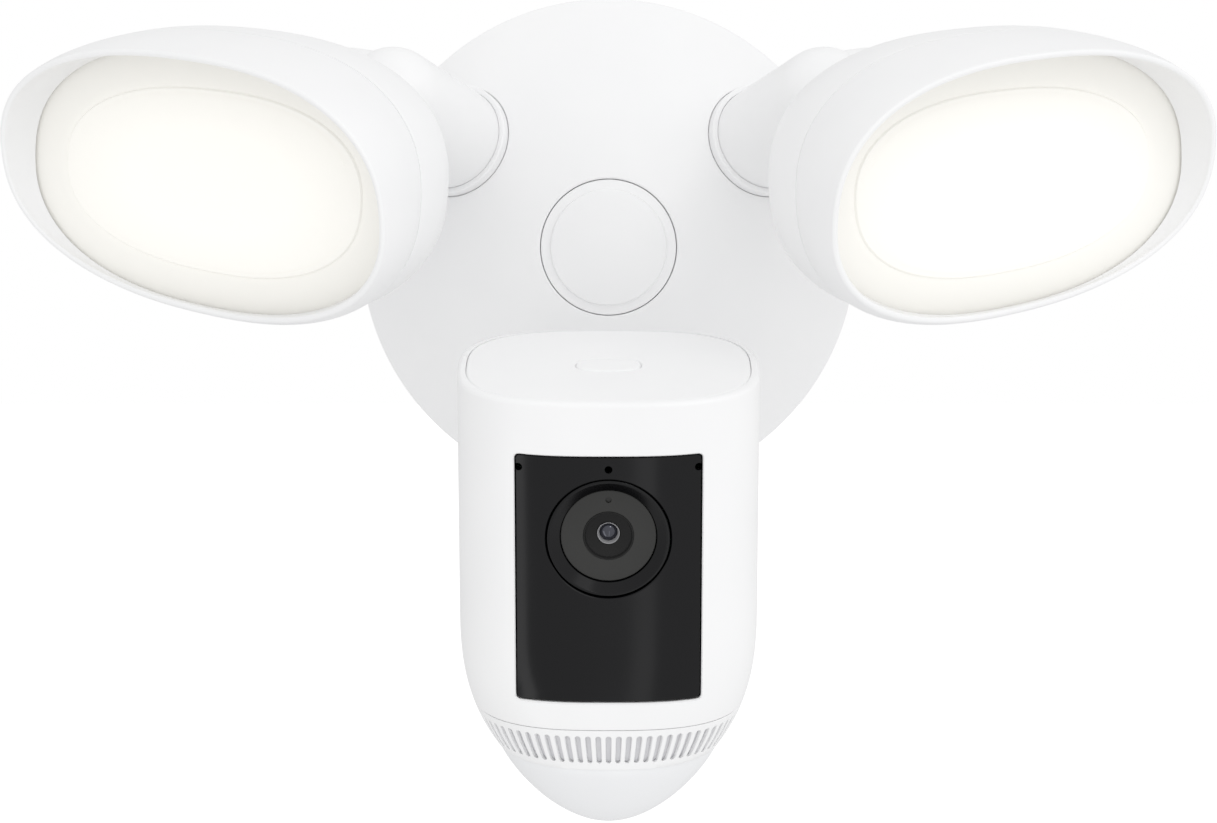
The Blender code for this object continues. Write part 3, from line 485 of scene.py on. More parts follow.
def make_board():
    """Circuit board: green mask over copper tracks."""
    material, shader = start_material("circuit_board", (0.02, 0.16, 0.07), 0.4)
    tree = material.node_tree
    place = add_node(tree, "TexCoord")
    cells = add_node(tree, "TexVoronoi", {"distance": "MANHATTAN", "feature": "F1"},
                     {"Scale": 260.0, "Randomness": 0.8})
    tree.links.new(place.outputs["Object"], cells.inputs["Vector"])
    ramp = add_node(tree, "ValToRGB")
    ramp.color_ramp.interpolation = "CONSTANT"
    ramp.color_ramp.elements[0].color = (0.02, 0.13, 0.06, 1.0)
    ramp.color_ramp.elements[1].position = 0.55
    ramp.color_ramp.elements[1].color = (0.03, 0.22, 0.09, 1.0)
    tree.links.new(cells.outputs["Distance"], ramp.inputs["Fac"])
    tree.links.new(ramp.outputs["Color"], shader.inputs["Base Color"])
    add_bump(tree, shader, cells.outputs["Distance"], 0.03)
    return material


def make_gloss(name, colour, roughness, level):
    material, shader = start_material(name, colour, roughness)
    tree = material.node_tree
    shader.inputs["Specular IOR Level"].default_value = level
    vary_roughness(tree, shader, add_noise(tree, 45.0, 3.0), roughness - 0.02, roughness + 0.02)
    add_bump(tree, shader, add_noise(tree, 220.0, 2.0), 0.004)
    return material


def make_glass():
    material, shader = start_material("lens_glass", (0.012, 0.013, 0.020), 0.03)
    tree = material.node_tree
    shader.inputs["IOR"].default_value = 1.7
    shader.inputs["Specular Tint"].default_value = (0.86, 0.88, 1.0, 1.0)
    vary_roughness(tree, shader, add_noise(tree, 300.0), 0.02, 0.04)
    return material


WHITE = moulded("white_plastic", (0.868, 0.870, 0.876), (0.892, 0.893, 0.896), 0.42, 2300.0, 0.010)
DOME = moulded("dome_film", (0.835, 0.843, 0.856), (0.860, 0.867, 0.880), 0.36, 900.0, 0.004)
CLOTH = moulded("acoustic_cloth", (0.66, 0.66, 0.68), (0.72, 0.72, 0.74), 0.8, 2600.0, 0.06)
GREY = moulded("lens_grey", (0.021, 0.021, 0.020), (0.026, 0.026, 0.025), 0.44, 2600.0, 0.008,
               level=0.3)
MATT = moulded("matt_black", (0.006, 0.006, 0.006), (0.009, 0.009, 0.009), 0.7, 2600.0, 0.010,
               level=0.3)
RUBBER = moulded("black_rubber", (0.016, 0.016, 0.017), (0.028, 0.028, 0.029), 0.78, 1500.0, 0.05)
NYLON = moulded("grey_nylon", (0.30, 0.30, 0.31), (0.37, 0.37, 0.38), 0.48, 1800.0, 0.02)
DARK = moulded("dark_plastic", (0.035, 0.035, 0.04), (0.055, 0.055, 0.06), 0.5, 1800.0, 0.02)
REFLECTOR = moulded("reflector_white", (0.86, 0.86, 0.86), (0.90, 0.90, 0.90), 0.28, 600.0, 0.004)
BLACK = make_gloss("black_gloss", (0.0030, 0.0030, 0.0040), 0.16, 0.21)
GLASS = make_glass()
DIFFUSER = make_diffuser()
BOARD = make_board()
STEEL = metal("zinc_steel", (0.50, 0.51, 0.53), (0.62, 0.62, 0.63), 0.34, (1.0, 1.0, 1.0))
ALUMINIUM = metal("aluminium", (0.62, 0.62, 0.63), (0.72, 0.72, 0.73), 0.36, (1.0, 1.0, 0.05))

CAD_MATERIALS = {
    "circuit_board": BOARD, "dark_plastic": DARK, "rubber": RUBBER, "zinc_steel": STEEL,
    "aluminium": ALUMINIUM, "reflector_white": REFLECTOR, "white_plastic": WHITE,
    "nylon": NYLON, "lens_grey": GREY, "lens_glass": GLASS, "black_gloss": BLACK,
    "dome_film": DOME, "lamp_diffuser": DIFFUSER,
}


def paint_cad_nodes():
    for node, piece in frame["nodes"].items():
        material = CAD_MATERIALS[SLOT_OF[node]]
        if piece.material_slots:
            piece.material_slots[0].material = material
        else:
            piece.data.materials.append(material)


# --- Base ------------------------------------------------------------------------------------

def build_cover():
    hole = BOLT_RADIUS + GAP + 0.4
    floor_rear = WELL_FLOOR - COVER_WALL
    rim_inner = BASE_RADIUS - COVER_WALL
    outer = [(r, dome_height(r)) for r in np.linspace(WELL_RADIUS + 1.5, BASE_RADIUS - 1.5, 30)]
    inner = [(r, dome_height(r, DOME_RADIUS - COVER_WALL))
             for r in np.linspace(rim_inner, WELL_RADIUS + COVER_WALL, 14)]
    profile = [(hole, WELL_FLOOR), (WELL_RADIUS, WELL_FLOOR, 0.6),
               (WELL_RADIUS, dome_height(WELL_RADIUS), 0.5), *outer,
               (BASE_RADIUS, dome_height(BASE_RADIUS), 1.0), (BASE_RADIUS, COVER_REAR, 0.4),
               (rim_inner, COVER_REAR), *inner, (WELL_RADIUS + COVER_WALL, floor_rear),
               (hole, floor_rear)]
    cover = make_object("cover", turned_loop(profile, 160), BASE)
    sockets = (ARM, ARM_LEFT, STEM)
    boss = cylinder(13.0, SOCKET_INSIDE, -1.0, SMALL_ROUND)
    mouth = SOCKET_RADIUS + 1.2
    face = turned([(0.0, SOCKET_FLOOR), (SOCKET_RADIUS, SOCKET_FLOOR), (SOCKET_RADIUS, -1.35),
                   (SOCKET_RADIUS + 0.35, -1.0), (mouth, 0.4), (mouth, 6.0), (0.0, 6.0)])
    bore = cylinder(SHANK_RADIUS + GAP, -9.0, 2.0, SMALL_ROUND)
    whole = Matrix.Identity(4)
    carve(cover, merged([moved(boss, place) for place in sockets]), whole, "UNION")
    carve(cover, merged([moved(face, place) for place in sockets]), whole)
    carve(cover, merged([moved(bore, place) for place in sockets]), whole)
    show(cover, "base_cover", WHITE)


def build_centre():
    head_seat = WELL_FLOOR + GAP
    bolt = turned(rounded([(0.0, 2.6), (BOLT_RADIUS - 0.4, 2.6), (BOLT_RADIUS, 3.4),
                           (BOLT_RADIUS, head_seat), (5.6, head_seat, 0.2),
                           (5.6, head_seat + 2.6, 0.9), (0.0, head_seat + 2.6)]), SMALL_ROUND)
    piece = make_object("bolt", bolt, BASE)
    carve(piece, cylinder(HEX_SOCKET, head_seat + 0.9, head_seat + 4.0, 6), BASE)
    show(piece, "mounting_bolt", STEEL)

    crown = dome_height(0.0) + 0.4
    step = CAP_FACE_RADIUS + 0.3
    inner = CAP_FACE_RADIUS - 1.5
    face = [(r, dome_height(r) + 0.4) for r in np.linspace(CAP_FACE_RADIUS - 1.0, 0.0, 12)]
    cap = rounded([(0.0, crown - 1.8), (inner, dome_height(CAP_RADIUS) - 1.6), (inner, head_seat),
                   (CAP_RADIUS, head_seat, 0.3), (CAP_RADIUS, dome_height(CAP_RADIUS) - 0.3, 0.4),
                   (step, dome_height(step) - 0.45, 0.15),
                   (CAP_FACE_RADIUS, dome_height(CAP_FACE_RADIUS) + 0.35, 0.3), *face])
    add("centre_cap", turned(cap, 128), BASE, WHITE)


def build_rear():
    """Bracket, foam ring, back plate and grommet, seen from the wall side."""
    width, height = BRACKET_HALF
    corner = 3.0
    outline = rounded([(-width, -height, corner), (width, -height, corner),
                       (width, height, corner), (-width, height, corner)], closed=True, steps=6)
    edge = 0.25
    rings = []
    for z, inset in ((0.0, edge), (edge, 0.0), (BRACKET_THICKNESS - edge, 0.0),
                     (BRACKET_THICKNESS, edge)):
        scale = (1.0 - inset / width, 1.0 - inset / height)
        rings.append(np.array([(x * scale[0], y * scale[1], z) for x, y in outline]))
    bracket = make_object("bracket", loft(rings), BASE)
    boss = turned(rounded([(0.0, 0.9), (7.0, 0.9), (7.0, 6.5, 0.6), (0.0, 6.5)]), SMALL_ROUND)
    carve(bracket, boss, BASE, "UNION")
    slot_half, slot_radius = 6.6, 2.4
    slot = [(x, y, z) for z in (-1.0, 4.0)
            for x, y in (arc((slot_half, 0.0), slot_radius, -90, 90, 8)
                         + arc((-slot_half, 0.0), slot_radius, 90, 270, 8))]
    slot_rings = np.array(slot).reshape(2, -1, 3)
    cuts = [cylinder(BOLT_RADIUS + GAP, 2.2, 8.0, SMALL_ROUND)]
    for x in (-BRACKET_SLOT_PLACE, BRACKET_SLOT_PLACE):
        cuts.append(loft([ring + (x, 0.0, 0.0) for ring in slot_rings]))
    carve(bracket, merged(cuts), BASE)
    show(bracket, "mounting_bracket", STEEL)

    gasket = [(GASKET_INNER, 0.0, 0.4), (PLATE_RADIUS, 0.0, 0.4),
              (PLATE_RADIUS, GASKET_THICKNESS, 0.2), (GASKET_INNER, GASKET_THICKNESS, 0.2)]
    add("base_gasket", turned_loop(gasket, 160), BASE, RUBBER)

    groove = 0.5
    plate = [(9.0, PLATE_REAR), (16.0, PLATE_REAR, 0.2), (16.4, PLATE_REAR + groove, 0.2),
             (49.6, PLATE_REAR + groove, 0.2), (50.0, PLATE_REAR, 0.2),
             (PLATE_RADIUS, PLATE_REAR, 0.3), (PLATE_RADIUS, PLATE_FRONT, 0.3),
             (9.0, PLATE_FRONT)]
    piece = make_object("plate", turned_loop(plate, 160), BASE)
    post = cylinder(3.2, PLATE_FRONT - 0.8, 8.0, SMALL_ROUND)
    posts = [moved(post, Matrix.Translation((x, y, 0.0)))
             for x, y in ((-21, -24), (21, -24), (-21, 11), (21, 11))]
    carve(piece, merged(posts), BASE, "UNION")
    rise = Matrix.Translation((0.0, WIRE_HOLE_RISE, 0.0))
    carve(piece, moved(cylinder(6.0, 0.0, 6.0, SMALL_ROUND), rise), BASE)
    show(piece, "base_back_plate", WHITE)

    neck, flange = 5.7, 6.8
    rear, front, top = PLATE_REAR - GAP, PLATE_FRONT + GAP, 7.0
    grommet = rounded([(0.0, 1.2), (flange, 1.2, 0.3), (flange, rear), (neck, rear),
                       (neck, front), (flange, front), (6.2, 6.4, 0.4), (4.0, top, 0.4),
                       (0.0, top)])
    add("wire_grommet", moved(turned(grommet, SMALL_ROUND), rise), BASE, RUBBER)


# --- Arms ------------------------------------------------------------------------------------

FLIP = Matrix.Diagonal((-1.0, 1.0, 1.0, 1.0))
ARM_LEFT = FLIP @ ARM @ FLIP
FOOT = SOCKET_FLOOR + 2.0 * GAP + 0.8


def collar_shape():
    floor = SOCKET_FLOOR + GAP
    inner = ARM_ROOT_RADIUS + SEAM
    return turned_loop([(SHANK_RADIUS + GAP, floor), (COLLAR_RADIUS, floor),
                        (COLLAR_RADIUS, 1.2, 0.5), (inner, 1.2, 0.2), (inner, floor + 0.8),
                        (SHANK_RADIUS + GAP, floor + 0.8)])


def build_arm(word, side):
    add(f"collar_{word}", collar_shape(), ARM, WHITE, side)
    bore = 3.5
    profile = rounded([(0.0, 20.0), (bore, 19.0), (bore, SHANK_END), (SHANK_RADIUS, SHANK_END, 0.4),
                       (SHANK_RADIUS, FOOT), (ARM_ROOT_RADIUS, FOOT, 0.3), (ARM_ROOT_RADIUS, 2.0),
                       (ARM_ROOT_RADIUS - 0.1, 8.0), (12.9, 18.0), (12.65, 26.0),
                       *arc((0.0, ARM_LENGTH), KNUCKLE_RADIUS, 0, 86, 22),
                       (0.0, ARM_LENGTH + KNUCKLE_RADIUS)])
    arm = make_object("arm", turned(profile), ARM, side)
    ear_room = turned(rounded([(0.0, KNUCKLE_FACE), (KNUCKLE_RADIUS + 0.8, KNUCKLE_FACE, 0.4),
                               (KNUCKLE_RADIUS + 0.8, 22.0), (0.0, 22.0)]))
    carve(arm, moved(ear_room, TO_AXIS_X), PIVOT, side=side)
    screw_bore = cylinder(PIVOT_SCREW_RADIUS + GAP, -7.5, 8.0, SMALL_ROUND)
    carve(arm, moved(screw_bore, TO_AXIS_X), PIVOT, side=side)
    pocket = cylinder((NUT_FLAT + GAP) / math.cos(math.pi / 6.0), 2.0, 9.0, 6)
    carve(arm, moved(pocket, TO_AXIS_X @ rotation("Z", 30.0)), PIVOT, side=side)
    show(arm, f"arm_{word}", WHITE)

    end, top = -7.0, SCREW_HEAD_SEAT + 3.0
    screw = turned(rounded([(0.0, end), (PIVOT_SCREW_RADIUS, end, 0.4),
                            (PIVOT_SCREW_RADIUS, SCREW_HEAD_SEAT),
                            (SCREW_HEAD_RADIUS, SCREW_HEAD_SEAT, 0.2),
                            (SCREW_HEAD_RADIUS, top, 0.7), (0.0, top)]), SMALL_ROUND)
    piece = make_object("screw", moved(screw, TO_AXIS_X), PIVOT, side)
    socket = cylinder(HEX_SOCKET, top - 1.6, top + 1.5, 6)
    carve(piece, moved(socket, TO_AXIS_X), PIVOT, side=side)
    show(piece, f"knuckle_screw_{word}", STEEL)


# --- Lamp heads ------------------------------------------------------------------------------

def lamp_ring(half, height, inset=0.0, rise=0.0, lean=(0.0, 0.0)):
    size = (half[0] - inset, half[1] - inset)
    return oval(size, LAMP_POWER, height, egg=LAMP_EGG, rise=rise, lean=lean)


def lamp_sweep(start, middle, end, shares):
    """Rings whose (half X, half Y, height, rise, lean share) bend through three settings."""
    rings = []
    for t in shares:
        weights = ((1.0 - t) * (1.0 - 2.0 * t), 4.0 * t * (1.0 - t), t * (2.0 * t - 1.0))
        x, y, height, rise, share = (sum(w * setting[k] for w, setting in
                                         zip(weights, (start, middle, end))) for k in range(5))
        lean = (RIM_LEAN[0] * share, RIM_LEAN[1] * share)
        rings.append(lamp_ring((x, y), height, rise=rise, lean=lean))
    return rings


def bowl_rings(inset, front, end, steps):
    rings = []
    depth = BOWL_DEPTH - inset
    for angle in np.linspace(0.0, 90.0, steps + 1):
        share = end * math.sin(math.radians(angle))
        shrink = math.sqrt(1.0 - share ** BOWL_POWER)
        half = ((SEAM_HALF[0] - inset) * shrink, (SEAM_HALF[1] - inset) * shrink)
        rings.append(lamp_ring(half, front - share * depth, rise=SEAM_RISE * shrink))
    return rings


def belt_outline(first, second, steps=16):
    """Outline round two circles, each (y, z, radius), as a belt runs round two pulleys."""
    start = np.array(first[:2])
    across = np.array(second[:2]) - start
    aim = math.atan2(across[1], across[0])
    spread = math.acos((first[2] - second[2]) / np.linalg.norm(across))
    outline = []
    for (y, z, radius), low, high in ((first, aim + spread, aim + 2.0 * math.pi - spread),
                                      (second, aim - spread, aim + spread)):
        outline += arc((y, z), radius, math.degrees(low), math.degrees(high), steps)
    return outline


def ear_shape():
    knuckle = -LAMP_FROM_KNUCKLE
    low = knuckle.x + KNUCKLE_FACE + GAP
    high = knuckle.x + EAR_OUTER
    foot_y, foot_z, foot_radius = 8.0, -49.0, 8.0
    section = rounded([(low, 3.0), (low, 0.0, 0.3), (high, 0.0, 1.0), (high, 3.0)])[1:-1]
    rings = []
    for x, inset in section:
        outline = belt_outline((knuckle.y, knuckle.z, EAR_RADIUS - inset),
                               (foot_y, foot_z, foot_radius - inset))
        rings.append(np.array([(x, y, z) for y, z in outline]))
    return loft(rings)


def build_housing(word, side):
    front = SEAM_DEPTH - SEAM
    edge = 0.3
    lip = [lamp_ring(SEAM_HALF, front, inset=edge, rise=SEAM_RISE),
           lamp_ring(SEAM_HALF, front - 0.1, inset=0.1, rise=SEAM_RISE),
           lamp_ring(SEAM_HALF, front - edge, rise=SEAM_RISE)]
    bowl = bowl_rings(0.0, front, 0.997, 26)
    housing = make_object("housing", loft([*lip, *bowl[1:]]), LAMP, side)
    carve(housing, ear_shape(), LAMP, "UNION", side)
    cavity = bowl_rings(HOUSING_WALL, front, 0.96, 14)
    carve(housing, loft([cavity[0] + (0.0, 0.0, 2.0), *cavity]), LAMP, side=side)
    narrow, wide, seat = PIVOT_SCREW_RADIUS + GAP, SCREW_HEAD_RADIUS + GAP, SCREW_HEAD_SEAT - GAP
    chamfer = 0.4
    bore = turned([(0.0, 2.0), (narrow, 2.0), (narrow, seat), (wide, seat),
                   (wide, EAR_OUTER - chamfer), (wide + chamfer, EAR_OUTER + 0.01),
                   (wide + chamfer, 16.0), (0.0, 16.0)], SMALL_ROUND)
    carve(housing, moved(bore, TO_AXIS_X), PIVOT, side=side)
    show(housing, f"lamp_housing_{word}", WHITE)


def build_bezel(word, side):
    seat = (LENS_HALF[0] + 1.1, LENS_HALF[1] + 0.9)
    edge = 0.3
    lip_inner = (RIM_HALF[0] - 2.0 * LIP_RADIUS, RIM_HALF[1] - 2.0 * LIP_RADIUS)
    shares = np.linspace(0.0, 1.0, 13)
    outside = lamp_sweep((*SEAM_HALF, SEAM_DEPTH, SEAM_RISE, 0.0),
                         (55.2, 33.5, SEAM_DEPTH * 0.5, 0.4, 0.5),
                         (*RIM_HALF, -LIP_RADIUS, 0.0, 1.0), shares)
    inside = lamp_sweep((*lip_inner, -LIP_RADIUS, 0.0, 1.0), (51.7, 30.9, -6.0, 0.0, 0.5),
                        (*LENS_HALF, LENS_FACE + 0.3, 0.0, 0.0), shares)
    rings = [lamp_ring(SEAM_HALF, SEAM_DEPTH, inset=edge, rise=SEAM_RISE),
             lamp_ring(SEAM_HALF, SEAM_DEPTH + 0.1, inset=0.1, rise=SEAM_RISE), *outside[1:]]
    for angle in np.radians(np.linspace(0.0, 180.0, 11))[1:-1]:
        rings.append(lamp_ring(RIM_HALF, -LIP_RADIUS + LIP_RADIUS * math.sin(angle),
                               inset=LIP_RADIUS * (1.0 - math.cos(angle)), lean=RIM_LEAN))
    rings += [*inside, lamp_ring(LENS_HALF, LENS_FACE, inset=-0.2), lamp_ring(seat, LENS_FACE),
              lamp_ring(seat, SEAM_DEPTH)]
    add(f"lamp_bezel_{word}", loft(rings, closed=True), LAMP, WHITE, side)


def build_diffuser(word, side):
    seat = (LENS_HALF[0] + 0.8, LENS_HALF[1] + 0.6)
    front = LENS_FACE - 2.0 * GAP
    edge = 0.2
    rings = [lamp_ring(seat, front - 2.4), lamp_ring(seat, front - edge),
             lamp_ring(seat, front, edge)]
    step = 1.3
    for share in np.linspace(0.0, 1.0, 12)[1:]:
        x = seat[0] + (LENS_PANE_HALF[0] + step - seat[0]) * share
        y = seat[1] + (LENS_PANE_HALF[1] + step - seat[1]) * share
        rings.append(lamp_ring((x, y), front + 0.35 * share ** 2, rise=PANE_RISE * share))
    shoulder = rounded([(-step, 0.35), (0.15, 0.45, 0.25), (0.45, 1.05, 0.35), (2.5, 1.15)],
                       steps=5)
    for inset, height in shoulder[1:]:
        rings.append(lamp_ring(LENS_PANE_HALF, front + height, inset, PANE_RISE))
    for share in np.linspace(0.93, 0.02, 22):
        half = (LENS_PANE_HALF[0] * share, LENS_PANE_HALF[1] * share)
        rings.append(lamp_ring(half, front + 1.15 + 0.45 * (1.0 - share ** 2), rise=PANE_RISE))
    lens = make_object("lens", loft(rings), LAMP, side)
    to_lamp = np.array(LAMP.inverted())
    glow = lens.data.attributes.new("glow", "FLOAT", "POINT")
    for k, vertex in enumerate(lens.data.vertices):
        place = np.array([vertex.co.x * side / MM, vertex.co.y / MM, vertex.co.z / MM, 1.0])
        x, y = (to_lamp @ place)[:2]
        reach = (abs(x / LENS_PANE_HALF[0]) ** LAMP_POWER
                 + abs((y - PANE_RISE) / LENS_PANE_HALF[1]) ** LAMP_POWER) ** (1.0 / LAMP_POWER)
        glow.data[k].value = float(np.interp(reach, *GLOW))
    show(lens, f"lamp_diffuser_{word}", DIFFUSER)


# --- Camera unit -----------------------------------------------------------------------------

def body_size(depth, inset=0.0):
    """Half width, half depth and power of the unit's outline at a depth below the lid."""
    loss = 0.0
    if depth > TAPER_START:
        loss = 1.14 * ((depth - TAPER_START) / 60.0) ** 2.62
    return (BODY_HALF[0] * (1.0 - loss) - inset, BODY_HALF[1] * (1.0 - 0.65 * loss) - inset,
            BODY_POWER - 2.0 * loss)


def body_ring(depth, inset=0.0, count=OVAL):
    x, y, power = body_size(depth, inset)
    return oval((x, y), power, -depth, count)


def front_point(x, depth, inset):
    """Point on the front of the unit, seen from the front at x and depth."""
    half_x, half_y, power = body_size(depth, inset)
    return (x, -half_y * (1.0 - abs(x / half_x) ** power) ** (1.0 / power), -depth)


def window_outline(grow, count):
    low, high = -WINDOW_HALF - grow, WINDOW_HALF + grow
    top, bottom = WINDOW_TOP - grow, WINDOW_BOTTOM + grow
    radius = WINDOW_CORNER + grow
    return spaced(rounded([(low, top, radius), (high, top, radius), (high, bottom, radius),
                           (low, bottom, radius)], closed=True, steps=6), count)


def shell_shape():
    end = GRILLE_TOP - SEAM
    bottom_edge = 0.25
    taper = list(np.linspace(end - bottom_edge, TAPER_START, 16))
    outside = [body_ring(end, bottom_edge), *[body_ring(d) for d in taper],
               *[body_ring(d) for d in (45.0, 30.0, 15.0, 5.0)]]
    top_edge = [body_ring(depth, inset) for inset, depth in rounded(
        [(0.0, 5.0), (0.0, 0.0, 1.2), (3.0, 0.0)], steps=6)[1:-1]]
    lid_room = (LID_HALF[0] + SEAM, LID_HALF[1] + SEAM)
    ledge = (LID_HALF[0] - 1.6, LID_HALF[1] - 1.6)
    shelf = LID_THICKNESS + GAP
    seat = [oval(lid_room, BODY_POWER, 0.0), oval(lid_room, BODY_POWER, -shelf),
            oval(ledge, BODY_POWER, -shelf), oval(ledge, BODY_POWER, -shelf - 1.6)]
    inside = [body_ring(d, BODY_WALL) for d in (5.4, 30.0, *taper[::-3], end)]
    return loft([*outside, *top_edge, *seat, *inside], closed=True)


def build_shells():
    front = make_object("front", shell_shape(), UNIT)
    carve(front, block((-50, -50, -100), (50, SEAM_REAR - GAP / 2.0, 20)), UNIT, "INTERSECT")
    chamfer = 0.35
    wide = window_outline(chamfer, 240)
    narrow = window_outline(0.0, 240)
    rings = [np.array([(x, -50.0, -d) for x, d in wide]),
             np.array([front_point(x, d, -0.05) for x, d in wide]),
             np.array([front_point(x, d, chamfer) for x, d in narrow]),
             np.array([(x, -15.0, -d) for x, d in narrow])]
    carve(front, loft(rings), UNIT)
    show(front, "camera_front_shell", WHITE)

    rear = make_object("rear", shell_shape(), UNIT)
    carve(rear, block((-50, SEAM_REAR + GAP / 2.0, -100), (50, 50, 20)), UNIT, "INTERSECT")
    lip = CUP_CAVITY * math.cos(math.radians(CUP_LIP_ANGLE))
    root = -13.5
    cup = turned(rounded([(0.0, root), (CUP_RADIUS, root, 2.0), (CUP_RADIUS, lip, 0.7),
                          (0.0, lip)]))
    carve(rear, cup, CUP, "UNION")
    lip_angle = 90.0 - CUP_LIP_ANGLE
    mouth = (lip + 6.0) / math.tan(math.radians(lip_angle))
    cavity = turned([(0.0, -20.0), (3.8, -20.0), *arc((0.0, 0.0), CUP_CAVITY, -70, lip_angle, 18),
                     (mouth, lip + 6.0), (0.0, lip + 6.0)])
    carve(rear, cavity, CUP)
    show(rear, "camera_rear_shell", WHITE)


def build_lid():
    rings = [oval(LID_HALF, BODY_POWER, -LID_THICKNESS)]
    for inset, height in rounded([(0.0, -LID_THICKNESS), (0.0, 0.0, 0.6), (3.0, 0.0)], steps=5)[1:]:
        rings.append(oval((LID_HALF[0] - inset, LID_HALF[1] - inset), BODY_POWER, height))
    lid = make_object("lid", loft(rings), UNIT)
    hole = (BUTTON_HALF[0] + SEAM, BUTTON_HALF[1] + SEAM)
    cut = [oval((hole[0] + grow, hole[1] + grow), 2.6, z, 64)
           for z, grow in ((-6.0, 0.0), (-0.25, 0.0), (0.01, 0.26), (3.0, 0.26))]
    carve(lid, loft(cut), UNIT)
    show(lid, "lid", WHITE)

    flange_top = -LID_THICKNESS - GAP
    rings = [(-1.4, flange_top - 1.2), (-1.4, flange_top), (0.0, flange_top), (0.0, -0.3),
             (0.1, -0.1), (0.35, 0.1), (0.8, 0.2), (2.5, 0.28), (4.4, 0.3)]
    add("setup_button", loft([oval((BUTTON_HALF[0] - inset, BUTTON_HALF[1] - inset), 2.6, z, 64)
                              for inset, z in rings]), UNIT, WHITE)


def build_window():
    """Plate that fills the window: rings run from the lens hole out to the window's edge."""
    count = 280
    thick = 1.9
    outline = window_outline(-0.25, count)
    spokes = outline - (0.0, LENS_DEPTH)
    reach = np.linalg.norm(spokes, axis=1)[:, None]
    hole = spokes / reach * LENS_HOLE + (0.0, LENS_DEPTH)
    edge = (outline - hole) / np.linalg.norm(outline - hole, axis=1)[:, None]

    def ring(points, inset):
        return np.array([front_point(x, d, inset) for x, d in points])

    rim = 0.2
    rings = [ring(hole, PLATE_INSET + thick), ring(hole, PLATE_INSET + rim)]
    for share in np.linspace(0.0, 1.0, 18):
        points = hole + edge * rim + (outline - hole - 2.0 * edge * rim) * share
        rings.append(ring(points, PLATE_INSET))
    rings += [ring(outline, PLATE_INSET + rim), ring(outline, PLATE_INSET + thick)]
    plate = make_object("plate", loft(rings, closed=True), UNIT)
    pin = cylinder(MICROPHONE_RADIUS, 20.0, 40.0, 24)
    holes = [moved(pin, Matrix.Translation((x, MICROPHONE_RISE, 0.0)))
             for x in (-WINDOW_HALF + 0.9, 0.0, WINDOW_HALF - 0.9)]
    carve(plate, merged(holes), LENS)
    show(plate, "faceplate", BLACK)


def build_optics():
    ring = [(11.1, 24.6), (14.0, 24.6), (14.0, 28.95, 0.3), (13.3, 28.95, 0.25),
            (11.1, 27.3, 0.15)]
    add("lens_trim_ring", turned_loop(ring), LENS, BLACK)
    barrel = [(3.0, 12.0), (7.5, 12.0), (7.5, 21.0), (10.95, 21.0), (10.95, 26.8, 0.2),
              (5.8, 26.8, 0.15), (5.5, 25.9, 0.15), (3.0, 24.4)]
    piece = make_object("barrel", turned_loop(barrel), LENS)
    dot = cylinder(0.7, 26.3, 28.0, 24)
    carve(piece, moved(dot, Matrix.Translation((0.0, 8.6, 0.0))), LENS)
    show(piece, "lens_barrel", GREY)
    baffle = [(2.6, 24.55), (5.35, 26.0, 0.1), (5.55, 26.65), (5.75, 26.7),
              (5.75, 26.9, 0.05), (5.5, 26.9, 0.05), (5.2, 26.2, 0.15), (2.6, 24.8)]
    add_extra("lens_baffle", turned_loop(baffle), LENS, MATT)
    seat = [(2.1, 23.0), (2.57, 23.0), (2.57, 25.1, 0.08), (2.45, 25.1, 0.08), (2.1, 24.1)]
    add_extra("lens_seat", turned_loop(seat, 64), LENS, NYLON)
    glass = [(0.0, 21.8), (2.0, 21.8), (2.0, 23.8), *arc((0.0, 22.0), 2.85, 45, 87, 14),
             (0.0, 24.85)]
    add("lens_glass", turned(glass, 64), LENS, GLASS)


class Surface:
    """Points of the unit's outline by their share of its length."""

    def __init__(self):
        self.rings = {}

    def points(self, shares, depth, inset):
        key = (round(depth, 6), round(inset, 6))
        if key not in self.rings:
            ring = body_ring(depth, inset, 1440)
            loop = np.vstack([ring, ring[:1]])
            lengths = np.concatenate([[0.0], np.cumsum(
                np.linalg.norm(np.diff(loop, axis=0), axis=1))])
            self.rings[key] = (loop, lengths / lengths[-1])
        loop, along = self.rings[key]
        shares = np.asarray(shares) % 1.0
        return np.column_stack([np.interp(shares, along, loop[:, k]) for k in range(3)])


